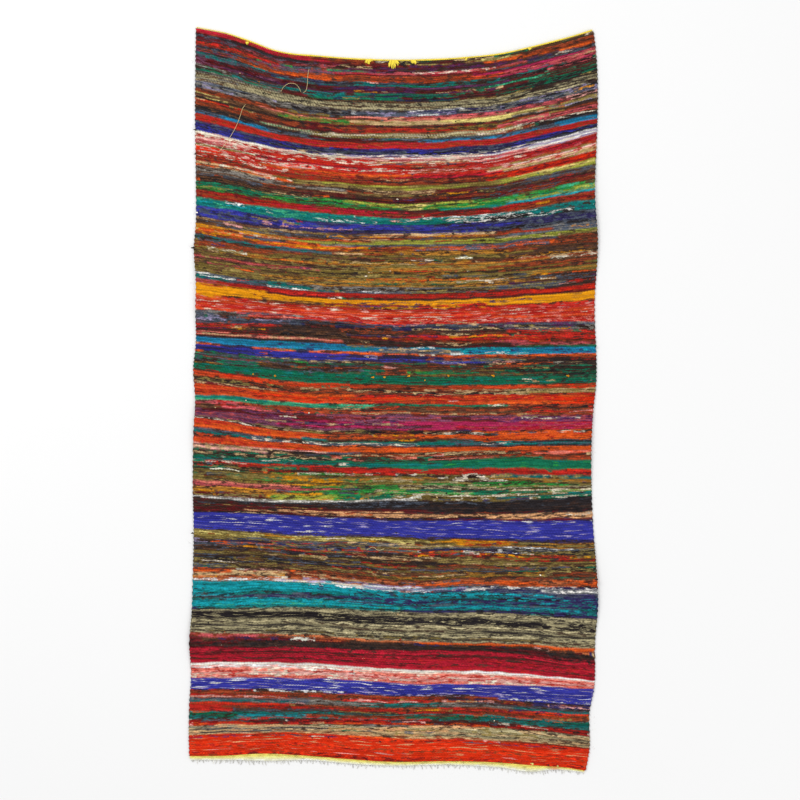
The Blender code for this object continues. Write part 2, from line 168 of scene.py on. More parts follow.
# The rows of weft from the upper end down. Each stretch starts at a stated row, whose y
# is given in millimetres at five places across, and holds stripes: how many rows, and
# their yarns from left to right, parted by bars. A yarn is its strips, joined by plus
# signs, then after a tilde its flecks, and after a colon the share of flecks.
PLACES = (-0.413, -0.219, 0.001, 0.222, 0.424)
CHART = (
    # (far_left, left, middle, right, far_right), stripes
    (None, (
        "2 crimson+maroon~rust:.3 | rust+maroon~umber:.35 | rust+umber~maroon:.35"
        " | umber+khaki~maroon+straw:.4 | brown+rust~umber:.4",
        "3 charcoal+maroon~slate:.4 | brown+umber~slate+rose:.4 | umber+maroon~purple:.4"
        " | maroon+umber~purple:.35 | rust+orange~umber:.35",
        "2 rust+red~umber:.35 | heather+slate~rose+green:.4 | rose+maroon~crimson:.35"
        " | rose+rust~maroon:.4 | navy+umber~slate:.35",
        "3 charcoal+rust~purple+slate:.44 | orange~rust+umber:.4 | flame+rust~umber:.35"
        " | rust+flame~umber:.35 | magenta+rose~maroon:.35",
        "2 slate+umber~teal+maroon:.44 | slate+teal~umber+navy:.44 | charcoal+teal~slate:.4"
        " | umber+emerald~teal:.4 | charcoal+emerald~rose:.35",
        "3 purple+maroon~heather+charcoal:.44 | purple+maroon~navy+umber:.44 | maroon+purple~umber:.35"
        " | maroon+purple~umber:.4 | emerald+maroon~umber+mint:.44",
        "3 umber+emerald~slate+grey:.4 | teal+maroon~umber:.4 | charcoal+emerald~navy:.35"
        " | charcoal+maroon~umber+emerald:.44 | umber+charcoal~emerald:.35",
    )),
    ((729, 684, 670, 682, 729), (
        "4 beige+grey~umber+brown:.48 | beige+brown~umber+charcoal:.48 | beige+brown~umber+charcoal:.48"
        " | beige+umber~charcoal+khaki:.44 | beige+umber~charcoal:.44",
        "3 slate+grey~lilac+charcoal:.4 | charcoal+umber~slate+grey:.4 | slate+navy~white+lilac:.3"
        " | navy+charcoal~grey+slate:.4 | charcoal+slate~grey+lilac:.4",
        "2 coral+rust~umber:.35 | umber+olive~slate:.4 | tan+coral~umber:.35"
        " | rust+rose~umber:.35 | rose+umber~pink:.3",
        "2 straw+brown~umber:.35 | khaki+olive~umber+green:.4 | straw+tan~khaki:.3"
        " | straw~khaki:.25 | grey+khaki~lilac+umber:.4",
        "1 umber+maroon~charcoal:.4",
        "3 red+rust~umber:.35 | rust+maroon~umber+charcoal:.4 | rust+red~umber:.3"
        " | rust+olive~red+umber:.45 | rust+rose~umber+maroon:.4",
        "2 charcoal~brown:.3 | beige+grey~mint:.48 | beige+khaki~charcoal+cream:.48"
        " | beige+rust~cream+beige:.48 | charcoal~umber:.4",
        "2 cerulean+slate~charcoal:.3 | slate+maroon~umber:.4 | teal+umber~maroon:.35"
        " | slate+cerulean~umber:.35 | cerulean~slate:.2",
    )),
    ((634, 587, 576, 587, 626), (
        "3 crimson+red~rust:.3", "3 navy+navy+charcoal~royal+slate:.44",
        "1 navy+royal~charcoal:.3 | cream+navy~tan:.4 | navy+lilac~cream:.35"
        " | lilac+navy~cream:.4 | lilac+white~navy:.3",
        "1 cream~white+pink:.25 | cream~pink+tan:.3 | cream+pink~white+rose:.35"
        " | white+cream~pink+rose:.3 | white+lilac~cream:.2",
        "1 red+rose~cream:.44 | red+crimson~cream:.3 | cream+pink~rose+tan:.44"
        " | cream+rose~pink+red:.44 | white+lilac~cream:.2",
        "1 red+pink~cream:.3 | red+rust~cream:.27 | tan+cream~rust:.44"
        " | pink+red~cream:.45 | pink+lilac~red:.35",
    )),
    ((578, 544, 529, 540, 590), (
        "2 red+rose~pink+cream:.27 | red~vermilion:.3 | red+rust~cream+tan:.35"
        " | red~pink+cream:.35 | red+crimson~maroon:.3",
        "1 khaki+umber~cream:.35 | crimson~umber:.3 | rust+red~cream:.35"
        " | rust+red~maroon:.35 | red~rose:.3",
        "2 vermilion+red~cream+pink:.26 | pink+red~cream:.44 | red~rust+cream:.3"
        " | red+rust~pink:.3 | pink+khaki~red:.35",
        "2 red+rust~cream+rust:.28 | red+orange~rust:.3 | rust+red~maroon:.35"
        " | crimson+red~maroon:.35 | khaki+tan~red+pink:.4",
        "3 rust+red~cream+umber:.35 | umber+rust~red:.4 | umber+rust~maroon:.4"
        " | maroon+rust~umber:.4 | vermilion+red~maroon:.3",
    )),
    ((531, 495, 479, 493, 536), (
        "2 tan+orange~cream+umber:.4 | olive+khaki~umber:.3 | lime+khaki~olive:.25"
        " | lime+olive~khaki:.3 | straw+lime~khaki:.3",
        "3 brown+grey~umber:.4 | brown+rust~orange+umber:.4 | umber+brown~tan:.35"
        " | umber+maroon~brown:.35 | umber+slate~brown:.35",
        "3 brown+umber~slate+rust:.4 | umber+maroon~brown:.4 | maroon+umber~brown+rust:.4"
        " | maroon+umber~rust:.4 | rust+maroon~umber:.4",
        "3 emerald+green~khaki+umber:.44 | green+emerald~umber+khaki:.44 | lime+straw~green+umber:.44"
        " | green~lime+umber+emerald:.44 | green+lime~brown+mint:.44",
        "1 umber~green:.3 | maroon~green:.3 | umber~maroon:.3"
        " | teal+cerulean~green:.3 | turquoise+teal~umber:.3",
        "3 red+rust~maroon:.3 | red+crimson~rust:.3 | crimson+rust~umber:.35"
        " | maroon+red~umber:.4 | red+rust~maroon:.35",
    )),
    ((450, 423, 405, 418, 446), (
        "3 teal~turquoise+white+mint:.3 | teal~white+mint:.3 | teal~white+emerald:.35"
        " | teal+charcoal~white:.3 | teal~turquoise+umber:.3",
        "4 navy+royal~charcoal+slate:.44 | royal+navy~charcoal+navy:.4 | royal+navy~slate+navy:.3"
        " | navy+royal~charcoal+royal:.44 | navy+charcoal~slate:.44",
    )),
    ((405, 376, 371, 378, 398), (
        "3 brown+slate~umber+khaki:.4 | brown+slate~umber:.4 | tan+rust~umber:.4"
        " | rust+brown~umber:.35 | slate+umber~grey:.35",
        "2 orange+ochre~gold+rust:.4 | ochre+flame~umber:.4 | lime+olive~khaki:.3"
        " | lime+khaki~umber:.35 | khaki+lime~umber:.35",
        "1 orange+rust~straw:.35 | slate+orange~umber:.4 | slate+grey~umber:.3"
        " | slate~umber:.35 | umber+brown~rust:.4",
        "2 rust+orange~gold+umber:.4 | orange+gold~rust:.4 | orange+rust~umber+ochre:.4"
        " | slate+rust~orange:.4 | rust+brown~umber+orange:.4",
        "2 slate+umber~teal:.35 | tan+brown~rust+umber:.45 | rust+ochre~umber:.35"
        " | rust+ochre~umber:.4 | umber+rust~brown:.4",
        "3 olive+rust~umber+brown:.4 | brown+olive~khaki+umber:.4 | umber+brown~olive+rust:.4"
        " | ochre+olive~umber:.4 | rust+umber~brown+ochre:.4",
        "2 olive+brown~umber+ochre:.4 | ochre+olive~rust:.4 | olive+ochre~umber:.4"
        " | ochre+olive~rust:.4 | brown+rust~umber+cream:.4",
        "2 brown+umber~olive:.4 | umber+maroon~khaki:.4 | ochre+khaki~umber+olive:.4"
        " | ochre+olive~khaki+umber:.4 | rust+brown~umber:.35",
        "2 rose+brown~khaki+umber:.4 | olive+umber~khaki:.4 | ochre+olive~cream+umber:.4"
        " | olive+umber~ochre:.4 | olive+umber~rust:.4",
        "2 olive+brown~rose+umber:.4 | khaki+olive~umber:.35 | olive+khaki~umber:.4"
        " | slate+umber~khaki:.4 | olive+ochre~khaki:.3",
        "4 khaki+olive~umber+brown:.4 | ochre+khaki~umber:.4 | ochre+olive~khaki+umber:.4"
        " | khaki+ochre~cream+umber:.45 | brown+umber~slate+purple:.4",
        "3 teal+slate~white+umber:.35 | slate+teal~white+umber:.4 | slate+umber~grey:.4"
        " | slate+umber~khaki:.4 | umber+slate~red:.35",
        "2 rose+red~rust:.3 | red~maroon:.3 | red~rust:.25 | red~umber:.3 | red~vermilion:.3",
        "1 red+gold~maroon:.35 | maroon~umber:.35 | red+maroon~umber:.4"
        " | umber~maroon:.4 | maroon+umber~rust:.4",
    )),
    ((254, 230, 220, 225, 241), (
        "1 gold~ochre:.12",
        "1 gold~ochre:.12 | gold~ochre+maroon:.25 | gold~navy+maroon:.44 | gold~navy+ochre:.44"
        " | gold~ochre:.12",
        "1 gold~ochre:.2 | umber+gold~maroon+ochre:.45 | umber+navy~gold+red:.45"
        " | red+umber~gold+maroon:.45 | gold~ochre:.15",
        "1 gold~orange:.3 | rust+red~umber+gold:.4 | umber+red~gold:.4"
        " | maroon+red~gold:.35 | red+gold~umber:.35",
        "5 red+red+flame~coral+pink+cream:.24",
        "2 slate+umber~grey+rose:.44 | red~coral+pink:.3 | red+vermilion~coral:.35"
        " | red~pink+coral:.35 | red~coral+pink:.3",
        "3 charcoal+slate~umber+lilac:.35 | slate+charcoal~navy+rust:.44 | navy+slate~charcoal+umber:.35"
        " | charcoal+slate~slate+tan:.44 | slate+umber~grey+purple:.4",
    )),
    ((171, 166, 153, 155, 155), (
        "2 red+rust~umber:.35 | umber~maroon+charcoal:.3 | umber+maroon~rust:.35"
        " | umber+brown~maroon:.35 | red+rust~umber:.4",
        "2 red+umber~maroon:.4 | umber+charcoal~brown:.35 | umber+rust~maroon:.4"
        " | rust+red~umber:.4 | red~rust+umber:.3",
        "2 coral+umber~red:.4 | umber~brown+charcoal:.35 | umber+maroon~rust+charcoal:.35"
        " | rose+rust~umber:.4 | rose+rust~umber:.4",
        "1 umber~charcoal:.4 | umber+maroon~charcoal:.3 | umber~rust:.3"
        " | umber+charcoal~maroon:.3 | emerald+charcoal~umber:.4",
    )),
    ((140, 128, 117, 115, 119), (
        "3 cerulean~teal+navy:.25 | cerulean~navy+teal:.3 | cerulean+slate~khaki+tan+umber:.43"
        " | cerulean+turquoise~white+navy:.3 | cerulean~turquoise+navy:.3",
        "1 orange~tan+umber:.3 | navy+orange~umber:.4 | khaki+rust~cream+umber:.45"
        " | tan+orange~umber:.4 | orange~rust+umber:.35",
        "3 royal+navy~charcoal:.25 | royal~navy+orange:.2 | royal+navy~lilac+umber:.3"
        " | slate+navy~umber+rust:.4 | umber+rust~charcoal:.4",
        "3 umber+slate~emerald+green:.4 | umber+slate~emerald+brown:.4 | brown+umber~rust+emerald:.4"
        " | brown+rust~umber+emerald:.4 | charcoal+umber~emerald:.35",
        "3 emerald+umber~slate+ochre:.4 | umber+emerald~brown+slate:.4 | emerald+umber~rust+green:.44"
        " | umber+brown~olive+emerald:.4 | umber+charcoal~emerald:.4",
        "3 emerald~umber+teal:.27 | emerald~umber+teal:.27 | emerald~teal+umber:.27"
        " | emerald~umber+teal:.27 | emerald+teal~umber:.35",
        "1 charcoal+umber~red:.35 | emerald~umber:.3 | emerald~umber:.3 | emerald~teal:.3"
        " | charcoal+emerald~umber:.3",
    )),
    ((61, 38, 32, 32, 36), (
        "2 flame~vermilion+umber:.3 | flame+rust~vermilion:.35 | flame+rust~umber:.35"
        " | rust+flame~umber:.3 | flame+rust~vermilion:.3",
        "2 charcoal+umber~rust+khaki:.44 | charcoal+rust~tan+umber:.4 | charcoal+umber~tan+rust:.42"
        " | umber+rust~tan+charcoal:.44 | umber+khaki~tan:.44",
        "1 maroon+umber~tan:.44 | rust+red~umber:.44 | umber+maroon~rust:.44"
        " | charcoal+red~tan:.4 | red+rust~umber:.3",
        "4 flame+orange~red+maroon:.3 | vermilion+orange~flame+rust:.3 | flame+red~orange+umber:.3"
        " | red+flame~orange+rust:.35 | vermilion+orange~red+rust:.3",
        "2 mint+teal~emerald:.3 | mint~teal+umber:.3 | mint+emerald~umber:.35"
        " | brown+rust~umber:.4 | umber+rust~charcoal:.4",
        "3 brown+rose~umber+red:.45 | flame+rust~umber+maroon:.35 | rust+umber~flame+maroon:.4"
        " | rust+brown~umber:.4 | rust+red~umber:.4",
    )),
    ((-20, -32, -36, -36, -36), (
        "3 heather+maroon~purple+umber:.4 | maroon+heather~umber:.4 | heather+maroon~rose+umber:.4"
        " | maroon+heather~umber:.4 | purple+maroon~rose:.4",
        "4 purple+heather~maroon+rose:.4 | heather+magenta~maroon:.4 | magenta+heather~maroon+umber:.35"
        " | magenta~rose+maroon:.25 | magenta+crimson~rose:.3",
        "2 umber+heather~khaki:.4 | umber+olive~tan:.4 | charcoal+umber~rust+khaki:.45"
        " | charcoal+umber~tan:.4 | umber+orange~charcoal:.4",
    )),
    ((-47, -74, -81, -81, -76), (
        "2 orange+flame~red:.3 | orange+flame~rust:.3 | orange+rust~umber:.35"
        " | flame+orange~umber:.3 | orange~red:.3",
        "1 orange~flame:.3 | teal+umber~slate:.4 | umber+teal~rust:.4"
        " | umber+orange~slate:.4 | orange+flame~umber:.35",
        "2 teal+slate~umber:.35 | slate+umber~teal+orange:.4 | teal+umber~emerald:.35"
        " | slate+umber~teal:.35 | teal+charcoal~slate:.35",
        "1 umber+orange~flame:.4 | flame+umber~orange:.3 | umber+flame~slate:.4"
        " | charcoal+umber~slate:.4 | umber~slate:.4",
        "2 orange+flame~red:.3 | orange~flame+rust:.3 | flame+orange~rust:.3",
        "2 umber+pink~tan+charcoal:.44 | umber+slate~tan+rust:.4 | charcoal+rust~tan+pink:.4"
        " | rust+umber~tan:.4 | coral+umber~flame:.4",
        "2 charcoal+umber~tan+emerald:.4 | umber+charcoal~emerald+tan:.44 | rust+umber~coral+emerald:.4"
        " | umber+rust~emerald:.4 | flame+rust~umber:.35",
    )),
    ((-126, -135, -142, -133, -135), (
        "2 emerald+teal~umber+cream:.35 | emerald+teal~green+umber:.25 | emerald~teal+green:.2",
        "1 emerald+brown~khaki:.35 | red+emerald~umber:.4 | emerald+teal~umber:.3"
        " | emerald~teal:.25 | emerald~green:.25",
        "2 emerald+umber~khaki+red:.4 | red+maroon~umber:.35 | red~vermilion+umber:.25"
        " | red~rust+emerald:.3 | red~vermilion+maroon:.3",
        "1 umber+khaki~emerald:.4 | green+umber~ochre:.4 | umber+red~khaki:.4"
        " | umber+rust~khaki:.4 | teal+umber~khaki:.35",
    )),
    ((-160, -171, -173, -176, -180), (
        "2 khaki+umber~olive:.4 | gold+ochre~olive+umber:.35 | ochre+olive~umber:.4"
        " | khaki+umber~cream+olive:.45 | gold+ochre~khaki:.35",
        "2 olive+umber~khaki+green:.4 | gold+olive~umber+khaki:.4 | khaki+umber~beige+green:.44"
        " | khaki+green~umber+beige:.44 | khaki+green~beige+umber:.44",
        "2 coral+rose~umber:.35 | green+slate~umber+khaki:.4 | green+emerald~umber+khaki:.35"
        " | khaki+umber~beige+green:.45 | khaki+umber~beige+green:.44",
        "2 gold+ochre~umber:.35 | green+slate~umber:.4 | umber+green~khaki+beige:.44"
        " | green+emerald~umber:.35 | green+khaki~cream:.4",
        "2 umber+maroon~khaki:.4 | lime+gold~green+umber:.4 | green+emerald~umber+khaki:.35"
        " | khaki+olive~cream+umber:.45 | emerald+teal~umber:.35",
        "1 grey+charcoal~white:.4 | charcoal+grey~white:.45 | rust+umber~khaki:.4"
        " | umber+olive~cream:.4 | charcoal+emerald~cream:.4",
    )),
    ((-223, -234, -230, -230, -220), (
        "3 charcoal+umber~maroon+slate:.3 | charcoal~umber+slate:.3 | charcoal~umber+slate:.25",
        "2 umber+maroon~charcoal:.4 | charcoal+maroon~umber:.3 | charcoal~umber:.3",
        "1 maroon+charcoal~umber:.4 | charcoal+peach~maroon:.4 | charcoal+umber~maroon:.35"
        " | charcoal~maroon:.35 | charcoal~maroon:.3",
        "1 maroon+charcoal~umber:.44 | peach+maroon~charcoal:.44 | peach~orange+umber:.44"
        " | peach~charcoal+umber:.45 | peach~cream+charcoal:.44",
        "1 maroon+charcoal~umber:.44 | maroon+charcoal~peach:.3 | charcoal+umber~peach:.45"
        " | charcoal~peach+umber:.44 | peach+charcoal~umber:.44",
        "1 charcoal+navy~maroon:.4 | maroon+umber~navy:.4 | maroon+umber~navy:.3",
    )),
    ((-254, -263, -272, -274, -274), (
        "7 royal~lilac+white+lilac:.09", "1 navy+royal~umber:.4",
    )),
    ((-292, -306, -310, -320, -324), (
        "3 olive+khaki~straw+umber:.4 | khaki+ochre~straw+umber:.4 | olive+khaki+brown~straw+umber:.42"
        " | gold+ochre+umber~rust+red:.4 | khaki+ochre~umber:.4",
        "2 olive+umber~khaki:.4 | umber+slate~khaki+grey:.4 | khaki+slate+umber~rust+tan:.42"
        " | slate+umber~grey+tan:.42 | slate+charcoal~white+khaki:.42",
        "3 slate+umber~lilac+charcoal:.42 | slate+umber+navy~charcoal+khaki:.4"
        " | slate+umber+brown~red+khaki:.42 | umber+olive+navy~charcoal+white:.42 | umber+charcoal~khaki:.4",
        "3 umber+brown~charcoal+slate:.42 | umber+khaki+charcoal~red+slate:.42 | umber+brown~khaki+tan:.42"
        " | umber+charcoal+brown~red+khaki:.4 | olive+umber~red:.4",
        "2 khaki+olive~umber:.4 | khaki+umber~olive+tan:.4 | khaki+olive+umber~charcoal:.4"
        " | olive+khaki~umber+tan:.4 | khaki+umber~olive:.4",
        "4 umber+brown+charcoal~slate+khaki:.42 | umber+charcoal+brown~olive+slate:.42"
        " | umber+olive+maroon~brown+red:.42 | umber+brown+slate~olive+rust:.42"
        " | umber+brown+charcoal~emerald+khaki:.42",
        "3 umber+slate~brown+khaki:.42 | brown+umber~rust+khaki:.42 | brown+olive+umber~tan+rust:.42"
        " | rust+umber+olive~ochre:.42 | brown+umber~rust+straw:.42",
        "1 umber+brown~rust:.4",
    )),
    ((-382, -389, -410, -405, -405), (
        "2 burnt+orange+tan~rust+umber:.4 | burnt+rust~umber+tan:.44 | burnt+rust~umber+slate:.44"
        " | burnt+orange~umber+rust:.44 | burnt+orange~rust+umber:.44",
        "1 burnt~rust+umber:.4 | burnt+umber~lilac:.4 | white+lilac~burnt:.35"
        " | umber+burnt~slate:.45 | burnt+umber~orange:.4",
        "1 burnt+turquoise~white:.44 | white+cream~lilac+turquoise:.44 | white+lilac~turquoise:.35"
        " | slate+white~navy:.45 | navy+slate~white:.4",
        "1 turquoise~teal:.35 | turquoise+slate~white:.35 | turquoise+navy~white:.35"
        " | burnt+navy~white+slate:.4 | white+navy~slate:.45",
        "2 turquoise~teal+charcoal:.28 | turquoise~teal+navy:.3 | turquoise+teal~navy+umber:.44"
        " | turquoise+navy~charcoal:.45 | navy+turquoise~slate:.45",
        "1 teal+charcoal~turquoise:.44 | turquoise+teal~charcoal:.44 | navy+charcoal~turquoise:.3",
        "3 turquoise+teal~charcoal+umber:.44 | turquoise+slate~navy+charcoal:.46"
        " | navy+charcoal~turquoise+teal:.27 | navy+charcoal+slate~turquoise+teal:.3"
        " | navy+charcoal~turquoise+teal:.27",
        "2 turquoise~teal+mint:.3 | turquoise~mint+teal:.3 | turquoise+teal~navy:.3"
        " | turquoise+teal~navy:.3 | navy+umber~teal:.44",
        "1 teal+navy~charcoal:.44",
    )),
    ((-472, -468, -479, -482, -493), (
        "1 beige~charcoal:.44", "1 charcoal~beige:.25 | beige~charcoal:.45 | beige~charcoal:.45",
        "3 charcoal~beige:.16 | charcoal~beige:.25 | charcoal+beige~beige+charcoal:.3",
        "1 beige~charcoal:.44 | charcoal~beige:.2 | charcoal~beige:.3", "2 beige~charcoal+umber:.45",
        "1 charcoal~beige:.2 | charcoal+umber~beige:.25 | charcoal~beige:.2",
        "2 beige~charcoal:.45", "1 charcoal+umber~beige+khaki:.3", "1 beige~charcoal+umber:.44",
    )),
    ((-526, -529, -544, -549, -560), (
        "1 rose+brown~rust:.44 | burnt+rust~umber:.44 | burnt+orange~umber:.3"
        " | orange+burnt~rust:.25 | burnt+rust~umber:.3",
        "1 brown+maroon~umber:.4 | maroon+umber~rust:.4 | burnt+umber~maroon:.4"
        " | orange+umber~burnt:.4 | maroon+umber~burnt:.4",
        "2 umber+maroon~charcoal:.44",
    )),
    ((-560, -560, -565, -567, -594), (
        "2 crimson~maroon+umber:.28", "1 crimson+maroon~umber:.44",
        "1 maroon+umber~crimson:.44", "2 crimson~red+maroon:.28",
        "1 maroon+crimson~umber:.44", "2 crimson~maroon+red:.28",
    )),
    ((-592, -592, -608, -612, -630), (
        "1 white~cream:.2", "1 cream+white+coral~pink:.44", "4 coral+pink+coral~red+cream:.44",
    )),
    ((-626, -626, -639, -641, -650), (
        "5 royal~white+lilac:.12",
        "1 rust+umber~red:.4 | royal+umber~white:.35 | royal~navy+umber:.3"
        " | royal+umber~lilac:.3 | royal~lilac:.25",
        "1 rust+maroon~umber:.3 | rust+red~umber:.3 | rust+umber~red:.3"
        " | rust+umber~maroon:.3 | royal+navy~white:.3",
        "2 rust+red~umber+brown:.4 | rust+brown~red+umber:.4 | rust+red~umber+khaki:.4"
        " | rust+maroon~umber:.4 | navy+rust~umber:.4",
        "2 teal+slate~grey+umber:.35 | teal+grey~umber:.35 | teal+umber~slate:.35",
    )),
    ((-682, -684, -693, -693, -709), (
        "2 vermilion+red~rust:.25 | red+rust~umber:.3 | rust+red~umber+khaki:.4"
        " | red+rust~umber+maroon:.35 | vermilion+rust~umber:.35",
        "1 red~maroon:.3 | teal+umber~slate:.4 | rust+umber~khaki:.3"
        " | rust+red~umber:.3 | red+rust~umber:.4",
        "2 teal+emerald~umber:.35 | teal+turquoise~umber:.35 | teal+rust~umber:.45"
        " | teal+emerald~umber:.35 | teal+emerald~umber:.35",
        "1 umber+red~teal:.4", "2 red+maroon~umber+cream:.4",
    )),
    ((-734, -731, -734, -738, -756), (
        "5 tan+beige+grey~umber+peach:.44 | tan+peach~umber+khaki:.4 | tan+beige~umber+khaki:.44",
        "1 umber+tan~rust:.4",
    )),
    ((-754, -749, -763, -767, -783), (
        "2 vermilion~red+maroon+rust:.4", "3 vermilion~peach+tan:.08",
        "2 vermilion~red+rust+rust:.44", "2 vermilion~peach+pink+coral:.08",
        "2 vermilion~maroon+red+rust:.44",
    )),
)
SCRAPS = ("cream", "tan", "pink", "rust", "red", "slate", "khaki", "emerald", "gold",
          "charcoal", "charcoal", "umber", "orange", "slate", "tan", "navy")
SCRAP_SHARE = 0.22  # how many of the flecks are odd scraps, where yarns are mixed
MIXED = (0.31, 0.43)  # yarns whose share of flecks is between these take odd scraps
DOTTED = 0.47  # rows with more flecks than this look dotted
DOTTED_SHARE = 0.3  # and have this share of flecks instead
GREYING = (0.915, 0.004)  # every dye is a little dulled: a factor and an added grey
LIGHT_LIMITS = (0.002, 0.95)  # darkest and brightest that a yarn gets
STRIP_LENGTH = 0.130  # mean length of one torn strip's shade along a row
LOWER_STRIP_LENGTH = 0.078  # and on a row's lower shoulder
FLECK_LENGTH = 0.050  # mean length over which flecks keep one colour
SAME_STRIP = 0.55  # how often both shoulders show one strip
NOISE_SPREAD = 0.071  # spread of the fleck noise about its middle
STRIP_TONE = 0.14  # spread of brightness from strip to strip
ROW_TONE = 0.16  # and from row to row where yarns are mixed
PLAIN_TONE = 0.4  # share of that spread where yarns are plain
ROW_FAVOUR = 0.5  # how often a row keeps to one of its strips
JOIN_JITTER = 0.08  # how unevenly a yarn change sits, as a share of the width
GROOVE_SHADE = (0.52, 1.0)  # painted shade in the grooves between rows: brightness where gaps show and where there is none
GROOVE_WAVES = 45  # waves of it across the rug
GROOVE_FLECK_SHADE = 0.75  # painted shade on the flecks there: their brightness
DIP_SHADE = (0.70, 0.98)  # painted shade where a row dips under a warp: brightness there, deep and shallow
DIP_WAVES = 14
DOT_DEEPER = 0.66  # how much deeper still the painted shade in the dips is on rows of twisted yarn, which look dotted
DOT_WAVES = 60
# painted shade on the rounded strips down the selvedges: the edge column's colour times this
SELVEDGE_SHADE = 0.9
PALE_EASE = 0.6  # how much less painted shade pale yarns take in dips and grooves
PALE = (0.22, 0.42)  # brightness at which a yarn starts to count as pale, and wholly does

YELLOW_YARN = (246, 222, 76)
BAND_YARNS = ((228, 210, 104), (238, 226, 134), (244, 238, 178), (246, 244, 214))
BAND_STAIN = (0.362, 0.010, 0.5)  # an orange stain's x, half width and strength
WARP_YARN = (206, 204, 198)
STRAY_YARN = (226, 206, 150)
LINT_DYES = ("umber", "charcoal", "rust", "khaki", "red", "cream", "olive", "slate", "umber", "maroon")

# Where the cloth's parts lie on the bake's map, whose u runs along a row
MAP_ACROSS = (0.003, 0.970)  # u of the first and last column
MAP_FACE = (0.995, 0.510)  # v of the first and last line of the face
MAP_BACK = (0.490, 0.005)
MAP_SIDES = (0.974, 0.980, 0.986, 0.992)  # u of the strips down the selvedges
MAP_SIDE = (0.003, 0.997)  # v of their ends
MAP_SIDE_WIDTH = 0.005
MAP_WALLS = ((0.5085, 0.5015), (0.4985, 0.4915))  # v of the first and last wall's edges
MAP_EAR = ((0.974, 0.999), (0.976, 0.999), (0.975, 0.998))


# ---------------------------------------------------------------------------
# Helpers
# ---------------------------------------------------------------------------
def smooth(x, xs, ys):
    """A cubic through the points (xs, ys) whose slope at a point is that of the chord
    between its neighbours. Past the ends it goes on straight."""
    x, xs, ys = (np.asarray(values, float) for values in (x, xs, ys))
    slopes = np.gradient(ys, xs)
    inside = np.clip(x, xs[0], xs[-1])
    i = np.clip(np.searchsorted(xs, inside) - 1, 0, len(xs) - 2)
    step = xs[i + 1] - xs[i]
    t = (inside - xs[i]) / step
    curve = (
        ys[i] * (1 + 2 * t) * (1 - t) ** 2
        + ys[i + 1] * t**2 * (3 - 2 * t)
        + step * (slopes[i] * t * (1 - t) ** 2 - slopes[i + 1] * t**2 * (1 - t))
    )
    return curve + np.where(x > xs[-1], slopes[-1], slopes[0]) * (x - inside)


def table_curve(x, table, number):
    """The smooth curve of a table's column over its first column, read at each x."""
    xs, ys = (np.array([row[which] for row in table]) for which in (0, number))
    return smooth(x, xs, ys) if xs[0] < xs[-1] else smooth(x, xs[::-1], ys[::-1])


def stretched(share, values):
    """Evenly spaced values from one end to the other, read in straight lines at a share."""
    return np.interp(share, np.linspace(0, 1, len(values)), values)


def between(low, high, t):
    """Low where t is -1, high where it is 1, and their mean where it is 0."""
    return (low + high) / 2 + (high - low) / 2 * t


def from_ends(numbers, reach):
    """0 at the first and last of these numbers, rising evenly to 1 over this reach."""
    return np.minimum(1, np.minimum(numbers, numbers[::-1]) / reach)


def linear(colour):
    """A colour as seen, from 0 to 255, as the light it reflects, from 0 to 1."""
    seen = np.asarray(colour, float) / 255
    return np.where(seen <= 0.04045, seen / 12.92, ((seen + 0.055) / 1.055) ** 2.4)


def dye(name):
    """A dye as light: its colour times one factor, plus a little grey."""
    return linear(DYES[name]) * GREYING[0] + GREYING[1]


def wavy(shape, cells):
    """Smooth noise from -1 to 1: random values on a coarse grid of that many cells, read
    between them with cosine weights."""
    coarse = RNG.uniform(-1, 1, (cells[0] + 2, cells[1] + 2))
    down, across = (np.linspace(0, most, count) for most, count in zip(cells, shape))
    i, j = down.astype(int), across.astype(int)
    u, v = (0.5 - 0.5 * np.cos(np.pi * (t - t.astype(int))) for t in (down, across))
    u, v = u[:, None], v[None, :]
    upper, lower = (coarse[k][:, j] * (1 - v) + coarse[k][:, j + 1] * v for k in (i, i + 1))
    return upper * (1 - u) + lower * u


def mesh_object(name, points, blocks, colours, flecks=None):
    """A mesh piece of these points. Each block is an array of faces of one kind, a row a
    face, and their places on the bake's map, or None. Colours are one a point."""
    mesh = bpy.data.meshes.new(name)
    mesh.vertices.add(len(points))
    mesh.vertices.foreach_set("co", np.asarray(points, np.float32).ravel())
    loops = np.concatenate([faces.ravel() for faces, _ in blocks])
    totals = np.concatenate([np.full(len(f), f.shape[1]) for f, _ in blocks])
    mesh.loops.add(len(loops))
    mesh.loops.foreach_set("vertex_index", loops.astype(np.int32))
    mesh.polygons.add(len(totals))
    starts = np.concatenate([[0], np.cumsum(totals)[:-1]])
    mesh.polygons.foreach_set("loop_start", starts.astype(np.int32))
    mesh.polygons.foreach_set("loop_total", totals.astype(np.int32))
    mesh.polygons.foreach_set("use_smooth", np.ones(len(totals), bool))
    mesh.update(calc_edges=True)
    if blocks[0][1] is not None:
        layer = mesh.uv_layers.new(name="OFBake")
        spots = np.concatenate([places.reshape(-1, 2) for _, places in blocks])
        layer.data.foreach_set("uv", spots.astype(np.float32).ravel())
    colours = np.concatenate([colours, np.ones((len(colours), 1))], 1)
    for layer_name, rgba in (("yarn", colours), ("fleck", flecks)):
        if rgba is not None:
            layer = mesh.color_attributes.new(layer_name, "FLOAT_COLOR", "POINT")
            layer.data.foreach_set("color", rgba.astype(np.float32).ravel())
    mesh.validate()
    piece = bpy.data.objects.new(name, mesh)
    bpy.context.scene.collection.objects.link(piece)
    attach(piece, "root")
    return piece


def grid_faces(rows, columns):
    """Quads over a grid of points numbered row by row, facing up when rows run towards -y
    and columns towards +x."""
    r, c = np.meshgrid(np.arange(rows - 1), np.arange(columns - 1), indexing="ij")
    corner = (r * columns + c).ravel()
    return np.stack([corner, corner + columns, corner + columns + 1, corner + 1], 1)


